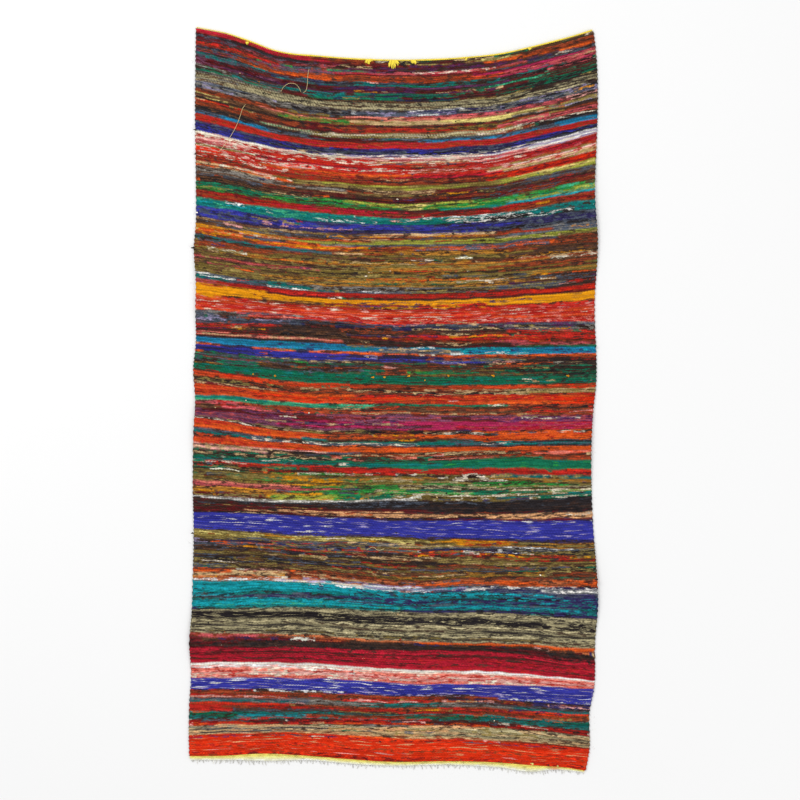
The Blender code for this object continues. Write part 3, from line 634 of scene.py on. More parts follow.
def on_map(*corners):
    """The faces' places on the bake's map, from the u and v of each of their corners."""
    return np.stack([np.stack(np.broadcast_arrays(u, v), 1) for u, v in corners], 1)


# ---------------------------------------------------------------------------
# The cloth's geometry
# ---------------------------------------------------------------------------
def lift(x, y):
    """How far the underside stands off the surface: the highest ripple there, where each
    ripple is its height times (1 - t^2)^2 across and along, and 0 past its half sizes."""
    height = np.zeros(np.broadcast(x, y).shape)
    for middle_x, middle_y, half_width, half_length, top, lean in RIPPLES:
        across = (x - middle_x - lean * (y - middle_y)) / half_width
        along = (y - middle_y) / half_length
        across, along = np.clip(across, -1, 1), np.clip(along, -1, 1)
        height = np.maximum(height, top * (1 - across**2) ** 2 * (1 - along**2) ** 2)
    return height


def rows_of(stripe):
    """How many rows a stripe has: the number that its words start with."""
    return int(stripe.partition(" ")[0])


STRETCH_ROWS = np.array([sum(rows_of(stripe) for stripe in stripes) for _, stripes in CHART])
STRETCH_STARTS = np.concatenate([[0], np.cumsum(STRETCH_ROWS)])
ROWS = int(STRETCH_STARTS[-1])
WEAVE = (ROWS, WARPS + 1)  # rows and columns of values on the weave


def stated_rows(x):
    """y at each x of every row that the chart states, with the two ends of the cloth."""
    stated = [smooth(x, PLACES, np.array(row) / 1000) for row, _ in CHART if row]
    return np.array([table_curve(x, UPPER_END, 1), *stated, table_curve(x, LOWER_END, 1)])


def row_heights(x, rows):
    """y of these rows, counted from the upper end, at each x: straight between the stated
    rows on each side. Rows are numbers, or a grid with a column for each x."""
    stated = stated_rows(x)
    rows = rows[:, None] if rows.ndim == 1 else rows
    k = np.clip(np.searchsorted(STRETCH_STARTS, rows, "right") - 1, 0, len(CHART) - 1)
    t = (rows - STRETCH_STARTS[k]) / STRETCH_ROWS[k]
    columns = np.arange(len(x))
    return stated[k, columns] * (1 - t) + stated[k + 1, columns] * t


def selvedges(y):
    """x of the left and the right selvedge at each y."""
    return table_curve(y, LEFT_SELVEDGE, 1), table_curve(y, RIGHT_SELVEDGE, 1)


def outline_middle():
    """The middle of the box round the cloth, in the outline's own coordinates."""
    across = np.linspace(0, 1, 31)
    ends = row_heights(HALF_WIDTH * (2 * across - 1), np.array([0.0, ROWS]))
    left, right = selvedges(np.linspace(ends[1].min(), ends[0].max(), 400))
    return (left.min() + right.max()) / 2, (ends[1].min() + ends[0].max()) / 2


BODY_LOW, BODY_HIGH = (np.array(corner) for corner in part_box("rug_body"))
SHIFT_X, SHIFT_Y = (BODY_LOW[:2] + BODY_HIGH[:2]) / 2 - outline_middle()


def cloth_places(columns, rows):
    """x and y in the outline's coordinates of a grid of points, at these shares of the
    width and on these rows. A row's y is read at the nominal width and its x between the
    selvedges there."""
    y = row_heights(HALF_WIDTH * (2 * columns - 1), rows)
    left, right = selvedges(y)
    return left + columns * (right - left), y


def over_under(warps, rows):
    """1 where a row runs over a warp, -1 where it runs under, 0 between two warps: the
    cosine of pi times warp plus row."""
    return np.cos(np.pi * (warps[None, :] + rows[:, None]))


def weave_faces():
    """Both faces of the cloth as grids of x, y and z. Three mesh lines a row: the groove,
    and two shoulders as high as the row is there, over or under the warp. Crests crowd
    their neighbours, so that grooves zigzag, and grooves wander a little. The back's grid
    is used at every other column, so a crest there spans two warps."""
    lines = np.arange(ROWS * LINES_A_PICK + 1)
    row, line = np.divmod(lines, LINES_A_PICK)
    warps, grooves = np.arange(WARPS + 1), np.arange(ROWS + 1)
    zigzag = -CREST_SPREAD * over_under(warps, grooves)
    wander = (share * wavy(zigzag.shape, (ROWS, waves)) for share, waves in ROW_WANDER)
    offset = sum(wander, start=zigzag) * from_ends(grooves, 1)[:, None]
    share = (line / LINES_A_PICK)[:, None]
    moved = offset[row] * (1 - share) + offset[np.minimum(row + 1, ROWS)] * share
    x, y = cloth_places(warps / WARPS, (lines / LINES_A_PICK)[:, None] + moved)
    sway = sum(far * wavy(y.shape, cells) for far, *cells in SWAY)
    y = y + from_ends(lines, SWAY_ROWS * LINES_A_PICK)[:, None] * sway
    uneven, waves = CREST_UNEVEN
    full = 1 + uneven * wavy(WEAVE, (ROWS // 2, waves))[np.minimum(row, ROWS - 1)]
    crest, back_crest = over_under(warps, row) * full, over_under(warps / 2, row)
    shoulder = (line > 0)[:, None]
    face = np.where(shoulder, between(FACE_DIP, FACE_CREST, crest), FACE_GROOVE)
    face += LEVEL_NOISE * wavy(face.shape, (ROWS // 3, WARPS // 4))
    back = np.where(shoulder, between(BACK_CREST, BACK_DIP, back_crest), BACK_GROOVE)
    thin = END_THICKNESS + (1 - END_THICKNESS) * from_ends(lines, 2)[:, None]
    thin = thin * (EDGE_THICKNESS + (1 - EDGE_THICKNESS) * from_ends(warps, EDGE_WARPS) ** 0.5)
    face, back = (CLOTH_MIDDLE + (side - CLOTH_MIDDLE) * thin for side in (face, back))
    turn = 0.5 - 0.5 * np.cos(np.pi * lines / LINES_A_PICK)
    for drawn, edge, inwards in ((turn, 0, 1), (1 - turn, -1, -1)):
        for step in range(SCALLOP_WARPS):
            far = SELVEDGE_SCALLOP * (1 - step / SCALLOP_WARPS)
            x[:, edge + inwards * step] += inwards * drawn * far
    height = lift(x, y)
    return x + SHIFT_X, y + SHIFT_Y, face + height, back + height


def read_yarn(words):
    """A yarn's strips, flecks and share of flecks, from the chart's words."""
    names, share = words.split(":")
    strips, flecks = (np.array([dye(name.strip()) for name in part.split("+")])
                      for part in names.split("~"))
    return strips, flecks, float(share)


def sparseness(part):
    """The height over which the higher of two noises, each spread like the normal curve,
    stands over this part of the cloth."""
    return 0.5 + NOISE_SPREAD * NormalDist().inv_cdf((1 - part) ** 0.5)


def runs_of(mean):
    """Along a row, the number of the stretch that each column is in: a new one starts at
    random, so that the stretches are about this long."""
    return np.cumsum(RNG.random(WARPS + 1) < 2 * HALF_WIDTH / WARPS / mean)


def taken(colours, numbers):
    """The one of these colours that each number from 0 to 1 falls on."""
    return colours[(numbers * len(colours)).astype(int)]


def row_colours():
    """For each row of weft, the colour of its two shoulders and of its flecks at each
    column, and how sparse the flecks are. Along a row, a new strip starts at random places,
    with its own shade, and a strip's lower shoulder sometimes shows another strip. Where a
    stripe has several yarns, a row changes from one to the next at a place that jitters."""
    strips_of, flecks_of = np.empty((ROWS, 2, WARPS + 1, 3)), np.empty((*WEAVE, 3))
    sparse = np.empty(WEAVE)
    scraps = np.array([dye(name) for name in SCRAPS])
    stripes = [stripe for _, stretch in CHART for stripe in stretch]
    rows = [stripe for stripe in stripes for _ in range(rows_of(stripe))]
    for row, stripe in enumerate(rows):
        yarns = [read_yarn(words) for words in stripe.partition(" ")[2].split("|")]
        joins = np.arange(1, len(yarns)) / len(yarns)
        joins = joins + RNG.normal(0, JOIN_JITTER, len(joins))
        used = np.searchsorted(np.sort(joins), np.arange(WARPS + 1) / WARPS)
        row_tone = RNG.normal(0, ROW_TONE, 2)
        favourite = RNG.random(2)
        upper, lower, fleck = map(runs_of, (STRIP_LENGTH, LOWER_STRIP_LENGTH, FLECK_LENGTH))
        pick = RNG.random((3, WARPS + 2))
        liked = RNG.random((2, WARPS + 2)) < ROW_FAVOUR
        pick[:2] = np.where(liked, favourite[:, None], pick[:2])
        tone = np.exp(RNG.normal(0, STRIP_TONE, (3, WARPS + 2)))[:, :, None]
        same = (RNG.random(WARPS + 2)[lower] < SAME_STRIP)[:, None]
        odd_place = pick[0][fleck] < SCRAP_SHARE
        for number, (strips, flecks, part) in enumerate(yarns):
            here = used == number
            first, second = taken(strips, pick[0][upper]), taken(strips, pick[1][lower])
            second = np.where(same, first, second) * tone[1][lower]
            mixed = 1 if part > MIXED[0] else PLAIN_TONE
            strips_of[row, 0, here] = (first * tone[0][upper])[here] * np.exp(mixed * row_tone[0])
            strips_of[row, 1, here] = second[here] * np.exp(mixed * row_tone.mean())
            is_odd = (odd_place & (MIXED[0] < part < MIXED[1]))[:, None]
            spot = np.where(is_odd, taken(scraps, pick[1][fleck]), taken(flecks, pick[2][fleck]))
            flecks_of[row, here] = (spot * tone[2][fleck])[here]
            sparse[row, here] = sparseness(part)
    padded = np.pad(strips_of, ((0, 0), (0, 0), (1, 1), (0, 0)), mode="edge")
    strips_of = (padded[:, :, :-2] + 2 * padded[:, :, 1:-1] + padded[:, :, 2:]) / 4
    return np.clip(strips_of, *LIGHT_LIMITS), np.clip(flecks_of, *LIGHT_LIMITS), sparse


def line_colours(strips, flecks, sparse):
    """Colours of the mesh lines: a row's own on its shoulders, with painted shade where it
    dips under a warp, and in a groove the mean of its two rows, with painted shade by an amount
    that varies. With them the flecks' colours, under painted shade too, whose fourth number is their
    sparseness."""
    lines = np.arange(ROWS * LINES_A_PICK + 1)
    row, line = np.divmod(lines, LINES_A_PICK)
    row = np.minimum(row, ROWS - 1)
    in_groove = (line == 0)[:, None]
    under = between(1, 0, over_under(np.arange(WARPS + 1), row))
    # painted shade in the dips under the warps, deeper on dotted rows
    depth = between(*DIP_SHADE, wavy(WEAVE, (ROWS, DIP_WAVES)))[row]
    dotted = sparse < sparseness(DOTTED)
    depth = depth - (dotted * between(0, DOT_DEEPER, wavy(WEAVE, (ROWS, DOT_WAVES))))[row]
    pale = np.clip((strips.mean((1, 3))[row] - PALE[0]) / (PALE[1] - PALE[0]), 0, 1)
    ease = 1 - PALE_EASE * pale
    shade = (1 - under * (1 - depth) * np.where(dotted[row], 1, ease))[:, :, None]
    # painted shade in the grooves between rows, deeper in patches; pale yarns take less of it
    painted_groove_shade = between(*GROOVE_SHADE, wavy((len(lines), WARPS + 1), (ROWS, GROOVE_WAVES)))
    painted_groove_shade = (1 - (1 - painted_groove_shade) * ease)[:, :, None]
    groove = (strips[row, 0] + strips[np.maximum(row - 1, 0), 1]) / 2 * painted_groove_shade
    shoulder = strips[row, np.clip(line - 1, 0, 1)] * shade
    tints = np.where(in_groove[:, :, None], groove, shoulder)
    painted_fleck_shade = np.where(in_groove[:, :, None], GROOVE_FLECK_SHADE, shade)
    sparse = np.where(dotted, sparseness(DOTTED_SHARE), sparse)
    return tints, np.concatenate([flecks[row] * painted_fleck_shade, sparse[row][:, :, None]], 2)


def turned_over(faces, places):
    """Faces that look the other way, each with its corners in the opposite order."""
    return faces[:, ::-1], places[:, ::-1]


def woven_run(name, first, last, grids):
    """One run of rows as a closed skin: the face's grid, the back's grid at every other
    column, a rounded strip down each selvedge, and a wall across each end."""
    x, y, face, back, colours, flecks = (grid[first:last + 1] for grid in grids)
    n, m = x.shape
    half = m // 2 + 1
    top = np.stack([x, y, face], 2).reshape(-1, 3)
    under = np.stack([x, y, back], 2)[:, ::2].reshape(-1, 3)
    bulge = [np.stack([x[:, side] + sign * SELVEDGE_ROUND, y[:, side],
                       (face[:, side] + back[:, side]) / 2], 1) for side, sign in ((0, -1), (-1, 1))]
    points = np.concatenate([top, under, *bulge])
    tints, spots = (
        np.concatenate([grid.reshape(-1, depth), grid[:, ::2].reshape(-1, depth), *sides])
        for grid, depth, sides in (
            (colours, 3, (colours[:, 0] * SELVEDGE_SHADE, colours[:, -1] * SELVEDGE_SHADE)),
            (flecks, 4, (flecks[:, 0], flecks[:, -1])),
        )
    )
    at_top = np.arange(n * m).reshape(n, m)
    at_under = n * m + np.arange(n * half).reshape(n, half)
    at_left = n * m + n * half + np.arange(n)
    at_right = at_left + n
    # The face is in the map's upper half, the back in its lower half, the sides beside.
    across = np.linspace(*MAP_ACROSS, m)
    face_map = np.stack(np.meshgrid(across, np.linspace(*MAP_FACE, n)), 2).reshape(-1, 2)
    back_map = np.stack(np.meshgrid(across[::2], np.linspace(*MAP_BACK, n)), 2).reshape(-1, 2)
    faces = grid_faces(n, m)
    blocks = [(faces, face_map[faces])]
    faces = grid_faces(n, half)[:, ::-1]
    blocks.append((faces + n * m, back_map[faces]))
    v = np.linspace(*MAP_SIDE, n)
    for u, inner, outer, turned in zip(
        MAP_SIDES, (at_top[:, 0], at_left, at_top[:, -1], at_right),
        (at_left, at_under[:, 0], at_right, at_under[:, -1]), (False, False, True, True),
    ):
        far_u = u + MAP_SIDE_WIDTH
        block = (np.stack([inner[:-1], outer[:-1], outer[1:], inner[1:]], 1),
                 on_map((u, v[:-1]), (far_u, v[:-1]), (far_u, v[1:]), (u, v[1:])))
        blocks.append(turned_over(*block) if turned else block)
    u, middle_u, far_u = across[:-2:2], across[1::2], across[2::2]
    for end, (high, low) in zip((0, -1), MAP_WALLS):
        upper, lower = at_top[end], at_under[end]
        wall = (np.stack([upper[:-2:2], upper[1::2], upper[2::2], lower[1:], lower[:-1]], 1),
                on_map((u, high), (middle_u, high), (far_u, high), (far_u, low), (u, low)))
        ears = (np.array([[upper[0], lower[0], at_left[end]], [upper[-1], at_right[end], lower[-1]]]),
                np.array([MAP_EAR, MAP_EAR]))
        blocks += [turned_over(*wall), turned_over(*ears)] if end else [wall, ears]
    return mesh_object(name, points, blocks, tints, spots)


# ---------------------------------------------------------------------------
# Materials
# ---------------------------------------------------------------------------
class Finish:
    """A dull, dry material in the making: nodes are added to it one by one."""

    def __init__(self, name, sheen):
        self.material = bpy.data.materials.new(name)
        self.material.use_nodes = True
        self.tree = self.material.node_tree
        self.shader = self.tree.nodes["Principled BSDF"]
        self.fill(self.shader, {"Roughness": 0.9, "Specular IOR Level": 0.06,
                                "Sheen Weight": sheen, "Sheen Roughness": 0.5})

    def new(self, kind):
        return self.tree.nodes.new("ShaderNode" + kind)

    def fill(self, node, inputs):
        """The node, each of these inputs set to a number or linked to a node's output."""
        for socket, value in inputs.items():
            if isinstance(value, bpy.types.NodeSocket):
                self.tree.links.new(value, node.inputs[socket])
            else:
                node.inputs[socket].default_value = value
        return node

    def colours(self, layer):
        node = self.new("VertexColor")
        node.layer_name = layer
        return node.outputs

    def noise(self, place, stretch, detail):
        """Noise on this place, stretched: more repeats a metre, finer grain."""
        mapping = self.fill(self.new("Mapping"), {"Vector": place, "Scale": stretch})
        return self.fill(self.new("TexNoise"), {
            "Vector": mapping.outputs["Vector"], "Scale": 1.0, "Detail": detail, "Roughness": 0.68,
        }).outputs["Fac"]

    def spread(self, value, low, high, out_low, out_high):
        """The value's range from low to high, spread to another range."""
        return self.fill(self.new("MapRange"), {
            "Value": value, "From Min": low, "From Max": high, "To Min": out_low, "To Max": out_high,
        }).outputs["Result"]

    def maths(self, operation, first, second):
        node = self.new("Math")
        node.operation = operation
        return self.fill(node, {0: first, 1: second}).outputs["Value"]

    def vector_maths(self, operation, vector, inputs):
        node = self.new("VectorMath")
        node.operation = operation
        return self.fill(node, {0: vector, **inputs}).outputs["Vector"]

    def mixed(self, kind, first_input, share, first, second):
        """From first to second as the share goes from 0 to 1."""
        node = self.new("Mix")
        node.data_type = kind
        self.fill(node, {"Factor": share, first_input: first, first_input + 1: second})
        return node.outputs[0 if kind == "FLOAT" else 2]

    def done(self, colour, height, strength, distance):
        """The material in this colour, with this height standing up as bump."""
        bump = {"Height": height, "Strength": strength, "Distance": distance}
        bump = self.fill(self.new("Bump"), bump).outputs["Normal"]
        self.fill(self.shader, {"Base Color": colour, "Normal": bump})
        return self.material


def yarn_material(name, strength, along, across, sheen):
    """Cloth of the piece's own yarn colours: the shade varies in streaks along the rows and
    in fine fibre, and the same fibre stands up as bump."""
    finish = Finish(name, sheen)
    place = finish.new("TexCoord").outputs["Object"]
    streaks = finish.noise(place, (along, across, 300), 2)
    fibre = finish.noise(place, (420, 2600, 1500), 3)
    shade = finish.spread(streaks, 0.3, 0.7, 1 - 0.28 * strength, 1 + 0.22 * strength)
    grain = finish.spread(fibre, 0.3, 0.7, 1 - 0.20 * strength, 1 + 0.16 * strength)
    both = finish.maths("MULTIPLY", shade, grain)
    colour = finish.vector_maths("SCALE", finish.colours("yarn")["Color"], {"Scale": both})
    finish.fill(finish.shader, {"Roughness": finish.spread(fibre, 0.3, 0.7, 0.80, 0.97)})
    return finish.done(colour, fibre, 0.55, 0.0006)


def weave_material(name, elsewhere):
    """Torn strips: the piece's yarn colours, with flecks of the other colour where a noise
    stretched along the rows passes the flecks' sparseness. Common flecks follow the higher
    of two noises, and rare ones a third, as long thin dashes. The folds paint light and shade
    on the strips and fibre varies their tone, blotches darken and lighten them most where flecks
    are common, and the folds also stand up as bump. All run along the bake map, whose u goes along a row and
    whose v goes across."""
    finish = Finish(name, 0.02)
    yarn, fleck = finish.colours("yarn"), finish.colours("fleck")
    rarity = fleck["Alpha"]
    whole_map = finish.new("UVMap")
    whole_map.uv_map = "OFBake"
    shift = (elsewhere, elsewhere * 1.7, 0)
    place = finish.vector_maths("ADD", whole_map.outputs["UV"], {1: shift})
    slivers = finish.noise(place, (28, 190, 1), 3)
    dapple = finish.noise(place, (42, 105, 1), 2)
    dashes = finish.noise(place, (22, 225, 1), 1)
    folds = finish.noise(place, (60, 330, 1), 3)
    fibre = finish.noise(place, (420, 1100, 1), 2)
    blotches = finish.noise(place, (70, 185, 1), 2)
    rare = finish.spread(rarity, 0.576, 0.584, 0, 1)
    chosen = finish.mixed("FLOAT", 2, rare, finish.maths("MAXIMUM", slivers, dapple), dashes)
    mask = finish.spread(finish.maths("SUBTRACT", chosen, rarity), -0.035, 0.045, 0, 0.90)
    colour = finish.mixed("RGBA", 6, mask, yarn["Color"], fleck["Color"])
    # painted light and shade of the folds in the strips
    shade = finish.spread(folds, 0.3, 0.7, 0.70, 1.18)
    grain = finish.spread(fibre, 0.3, 0.7, 0.82, 1.18)
    blotch = finish.spread(blotches, 0.32, 0.68, -0.46, 0.32)
    blotch = finish.maths("MULTIPLY", blotch, finish.spread(rarity, 0.55, 0.60, 1, 0.3))
    grain = finish.maths("MULTIPLY", grain, finish.maths("ADD", blotch, 1))
    both = finish.maths("MULTIPLY", shade, grain)
    return finish.done(finish.vector_maths("SCALE", colour, {"Scale": both}), folds, 0.6, 0.0009)


# ---------------------------------------------------------------------------
# Yarns: tubes along a path
# ---------------------------------------------------------------------------
def tubes(paths, radius, sides, colours):
    """Closed tubes along many paths of equal length at once. A ring at each point of a path
    lies across the path's direction there, and each end closes on one point. Paths is
    (tube, point, 3), radius is per point or one number, colours is per tube or per point.
    Returns points, blocks and a colour a point."""
    paths, colours = np.asarray(paths, float), np.asarray(colours, float)
    count, length, _ = paths.shape
    along = np.gradient(paths, axis=1)
    along /= np.linalg.norm(along, axis=2, keepdims=True) + 1e-12
    up = np.where(np.abs(along[..., 2:]) > 0.9, [1.0, 0, 0], [0, 0, 1.0])
    side = np.cross(along, up)
    side /= np.linalg.norm(side, axis=2, keepdims=True) + 1e-12
    top = np.cross(side, along)
    angle = (np.arange(sides) * 2 * np.pi / sides)[:, None]
    radius = np.broadcast_to(np.asarray(radius, float), (count, length)).copy()
    radius[:, [0, -1]] *= TAPER
    ring = side[:, :, None] * np.cos(angle) + top[:, :, None] * np.sin(angle)
    rings = paths[:, :, None] + ring * radius[:, :, None, None]
    reach = along[:, [0, -1]] * radius[:, [0, -1], None] * np.array([-0.5, 0.5])[:, None]
    points = np.concatenate([rings.reshape(count, -1, 3), paths[:, [0, -1]] + reach], 1)
    k = np.arange(sides)
    after = (k + 1) % sides
    last = (length - 1) * sides
    tip = np.full(sides, length * sides)
    quad = np.stack([k, after, after + sides, k + sides], 1)
    quads = quad + sides * np.arange(length - 1)[:, None, None]
    caps = np.stack([np.stack([after, k, tip], 1), np.stack([last + k, last + after, tip + 1], 1)])
    start = np.arange(count)[:, None, None] * points.shape[1]
    blocks = [((faces.reshape(-1, faces.shape[-1]) + start).reshape(-1, faces.shape[-1]), None)
              for faces in (quads, caps)]
    if colours.ndim == 2:
        colours = np.repeat(colours[:, None], length, 1)
    tint = np.concatenate([np.repeat(colours, sides, 1), colours[:, [0, -1]]], 1)
    return points.reshape(-1, 3), blocks, tint.reshape(-1, 3)


def joined(parts):
    """Several sets of points, blocks and colours as one."""
    points, tints = (np.concatenate([part[number] for part in parts]) for number in (0, 2))
    firsts = np.cumsum([0] + [len(part[0]) for part in parts])
    blocks = [(faces + first, None) for part, first in zip(parts, firsts) for faces, _ in part[1]]
    return points, blocks, tints


# ---------------------------------------------------------------------------
# Pieces
# ---------------------------------------------------------------------------
def cloth():
    """The weave, in runs of rows, and x and y of its grid."""
    x, y, face, back = weave_faces()
    colours, flecks = line_colours(*row_colours())
    ends = [round(ROWS * k / RUNS) * LINES_A_PICK for k in range(RUNS + 1)]
    for number, (first, last) in enumerate(zip(ends, ends[1:]), 1):
        piece = woven_run(f"woven_run_{number}", first, last, (x, y, face, back, colours, flecks))
        piece.data.materials.append(weave_material(f"torn_strips_{number}", 7.3 * number))
        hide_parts("rug_body")
    return x, y


def top_cord(x, y):
    """Two plies of yellow yarn twisted round each other along the upper end."""
    share = np.linspace(0, 1, 900)
    base_x, base_y = stretched(share, x[0]), stretched(share, y[0])
    away = CORD_AWAY * np.sqrt(1 + np.gradient(base_y, base_x) ** 2)
    height = lift(base_x - SHIFT_X, base_y - SHIFT_Y) + CORD_MIDDLE
    swell = 0.85 + 0.3 * stretched(share, RNG.random(40))
    paths, colours = [], []
    for start in (0, np.pi):
        turn = 2 * np.pi * share * CORD_TURNS + start
        across, up = (CORD_TWIST * swell * wave(turn) for wave in (np.cos, np.sin))
        paths.append(np.stack([base_x, base_y + away + across, height + up], 1))
        tone = np.exp(0.08 * stretched(share, RNG.normal(0, 1, 120)))
        colours.append(linear(YELLOW_YARN) * tone[:, None])
    thin = np.interp(base_x, (-0.40, -0.34, -0.30, -0.24, -0.20), (0.5, 1.1, 0.75, 0.75, 1.1))
    radius = np.tile(CORD_PLY * swell * thin, (2, 1))
    piece = mesh_object("top_heading_yarn", *tubes(paths, radius, 6, colours))
    piece.data.materials.append(yarn_material("yellow_heading_yarn", 0.7, 500, 500, 0.2))
    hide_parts("top_heading")


def bottom_band(x, y):
    """The woven heading: four rows of pale yarn, each running over and under the warps
    along a wave, packed under the last row of strips."""
    share = np.linspace(0.0, 1.0, WARPS * 3 + 1)
    base_x, base_y = stretched(share, x[-1]), stretched(share, y[-1])
    depth = 0.9 * table_curve(base_x - SHIFT_X, LOWER_END, 2)
    stain_x, stain_width, strength = BAND_STAIN
    stain = strength * np.exp(-((base_x - SHIFT_X - stain_x) / stain_width) ** 2)[:, None]
    picks = len(BAND_YARNS)
    paths, radii, colours = [], [], []
    for pick, yarn in enumerate(BAND_YARNS):
        wave = BAND_WAVE * np.cos(np.pi * (share * WARPS + pick))
        tone = np.exp(0.16 * stretched(share, RNG.normal(0, 1, 110)))
        uneven = 0.92 + 0.2 * stretched(share, RNG.random(120))
        radius = np.clip(depth / picks * 0.62 * uneven, *BAND_RADIUS)
        height = np.maximum(BAND_MIDDLE + wave, radius + 0.0001)
        paths.append(np.stack([base_x, base_y - depth * (pick + 0.5) / picks, height], 1))
        radii.append(radius)
        colour = linear(yarn) * (1 - stain) + linear(DYES["orange"]) * stain
        colours.append(np.minimum(colour * tone[:, None], 0.9))
    piece = mesh_object("bottom_heading_band", *tubes(paths, radii, 6, colours))
    piece.data.materials.append(yarn_material("pale_heading_yarn", 0.8, 300, 900, 0.2))
    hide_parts("bottom_heading")


def fringe(x, y):
    """The cut warp ends: short, slightly bent strands of uneven length."""
    share = (np.arange(STRANDS) + 0.5) / STRANDS
    base_x, base_y = (stretched(share, grid[-1])[:, None] for grid in (x, y))
    start = table_curve(base_x - SHIFT_X, LOWER_END, 2) - STRAND_TUCK
    shortest, longer = STRAND_LENGTH
    length = (shortest + longer * RNG.random(STRANDS) ** 1.4)[:, None]
    lean, bend = (RNG.normal(0, most, STRANDS)[:, None] for most in (0.35, 0.25))
    t = np.linspace(0, 1, 6)
    px = base_x + (lean * t + bend * t**2) * length
    py = base_y - start - (length + STRAND_TUCK) * t
    paths = np.stack([px, py, 0.0022 - 0.0014 * t + 0 * px], 2)
    tone = np.exp(RNG.normal(0, 0.18, STRANDS))
    colours = linear(WARP_YARN) * tone[:, None]
    piece = mesh_object("cut_warp_ends", *tubes(paths, STRAND_RADIUS, 6, colours))
    piece.data.materials.append(yarn_material("warp_end_cotton", 0.8, 900, 900, 0.2))
    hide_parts("bottom_fringe")


def on_face(x, y, above):
    """Points this far above the face at these places of the outline's coordinates."""
    return np.stack([x + SHIFT_X, y + SHIFT_Y, lift(x, y) + FACE_CREST + above], -1)


TUFTS = (
    # x, y at the root, length, lean
    (-0.0605, 0.7640, 0.010, -0.25), (-0.0560, 0.7640, 0.012, 0.10), (-0.0530, 0.7645, 0.008, 0.40),
    (-0.0060, 0.7620, 0.017, -0.15), (-0.0020, 0.7615, 0.021, 0.05), (0.0010, 0.7615, 0.019, 0.12),
    (0.0040, 0.7620, 0.013, 0.45), (0.0440, 0.7625, 0.010, -0.20), (0.0475, 0.7625, 0.011, 0.15),
    (-0.3300, 0.8030, 0.007, 0.30), (0.1650, 0.7680, 0.008, -0.30), (0.3050, 0.7900, 0.007, 0.20),
)
DARK_FLUFF = (
    (0.0120, 0.7585, 0.012, 0.9), (0.0190, 0.7570, 0.013, 0.7), (0.0260, 0.7590, 0.011, -0.8),
    (0.0330, 0.7575, 0.010, 1.0),
)
STRAY_THREADS = (
    # stops along each thread
    ((-0.190, 0.7425), (-0.1925, 0.727), (-0.1935, 0.708), (-0.197, 0.693), (-0.203, 0.6885)),
    ((-0.208, 0.6896), (-0.213, 0.7005), (-0.222, 0.7085), (-0.235, 0.709), (-0.246, 0.702),
     (-0.253, 0.6908)),
    ((-0.332, 0.6615), (-0.3386, 0.6525), (-0.3454, 0.632), (-0.3544, 0.610), (-0.368, 0.587),
     (-0.388, 0.560), (-0.396, 0.556)),
    ((0.118, 0.402), (0.131, 0.407), (0.150, 0.405), (0.163, 0.410)),
    ((-0.060, -0.338), (-0.046, -0.333), (-0.034, -0.340), (-0.020, -0.336)),
)
KNOTS = (
    # x, y, dye, size
    (-0.4500, 0.3400, "charcoal", 1.3), (-0.4420, 0.4190, "white", 0.9), (-0.4450, 0.6050, "umber", 1.1),
    (-0.4450, 0.5510, "umber", 1.0), (0.4560, -0.4050, "charcoal", 1.2), (-0.4270, 0.3600, "charcoal", 1.2),
    (-0.4220, 0.1580, "charcoal", 1.2), (-0.2370, 0.1460, "charcoal", 1.5), (0.2240, 0.0520, "gold", 1.3),
    (-0.2670, 0.0520, "gold", 1.2), (-0.0460, 0.0490, "gold", 1.1), (0.0350, 0.0520, "gold", 1.1),
    (0.1230, 0.0520, "gold", 1.2), (0.3920, 0.0520, "gold", 1.2),
    (-0.0200, 0.0490, "gold", 0.9), (0.0700, 0.0420, "gold", 0.8), (-0.3160, 0.0560, "gold", 0.8),
    (0.2100, -0.0900, "charcoal", 1.0), (0.2700, -0.0960, "charcoal", 1.1), (0.1500, -0.1020, "umber", 0.9),
    (-0.3900, -0.1400, "umber", 1.0), (-0.4480, -0.4200, "teal", 1.0), (0.4540, 0.1200, "emerald", 1.0),
    (0.4520, 0.5650, "rust", 1.0), (-0.1500, 0.3050, "charcoal", 0.8), (0.1800, 0.2300, "umber", 0.9),
    (-0.2620, -0.7990, "straw", 1.2), (0.3120, -0.8200, "straw", 1.2), (0.3680, -0.8250, "straw", 1.2),
    (0.3480, -0.8225, "charcoal", 0.9), (-0.2600, -0.7780, "rust", 0.8), (0.3300, -0.3960, "white", 0.7),
    (-0.4520, -0.3010, "umber", 1.0),
)


def tufts(table, colour, thick):
    """Strands that hang over the face from each root, side by side, each bowed upwards."""
    t = np.linspace(0, 1, 8)
    paths, tints = [], []
    for x, y, length, lean in [row for row in table for _ in range(TUFT_STRANDS)]:
        slant = lean + RNG.normal(0, 0.10)
        side = RNG.normal(0, 0.0013)
        px = x + side + slant * length * t + 0.0009 * np.sin(3 * t + side * 3000)
        py = y - length * t * RNG.uniform(0.6, 1.0)
        paths.append(on_face(px, py, 0.0004 + 0.002 * np.sin(np.pi * t)))
        tints.append(linear(colour) * np.exp(RNG.normal(0, 0.12)))
    return tubes(paths, thick * (1 - 0.3 * t), 6, tints)


def stray_thread(stops):
    """A thin thread lying on the face, smoothly through its stops."""
    t = np.linspace(0, len(stops) - 1, 24)
    x, y = (smooth(t, range(len(stops)), values) for values in zip(*stops))
    return tubes([on_face(x, y, 0.0006)], STRAY_RADIUS, 6, [linear(STRAY_YARN)])


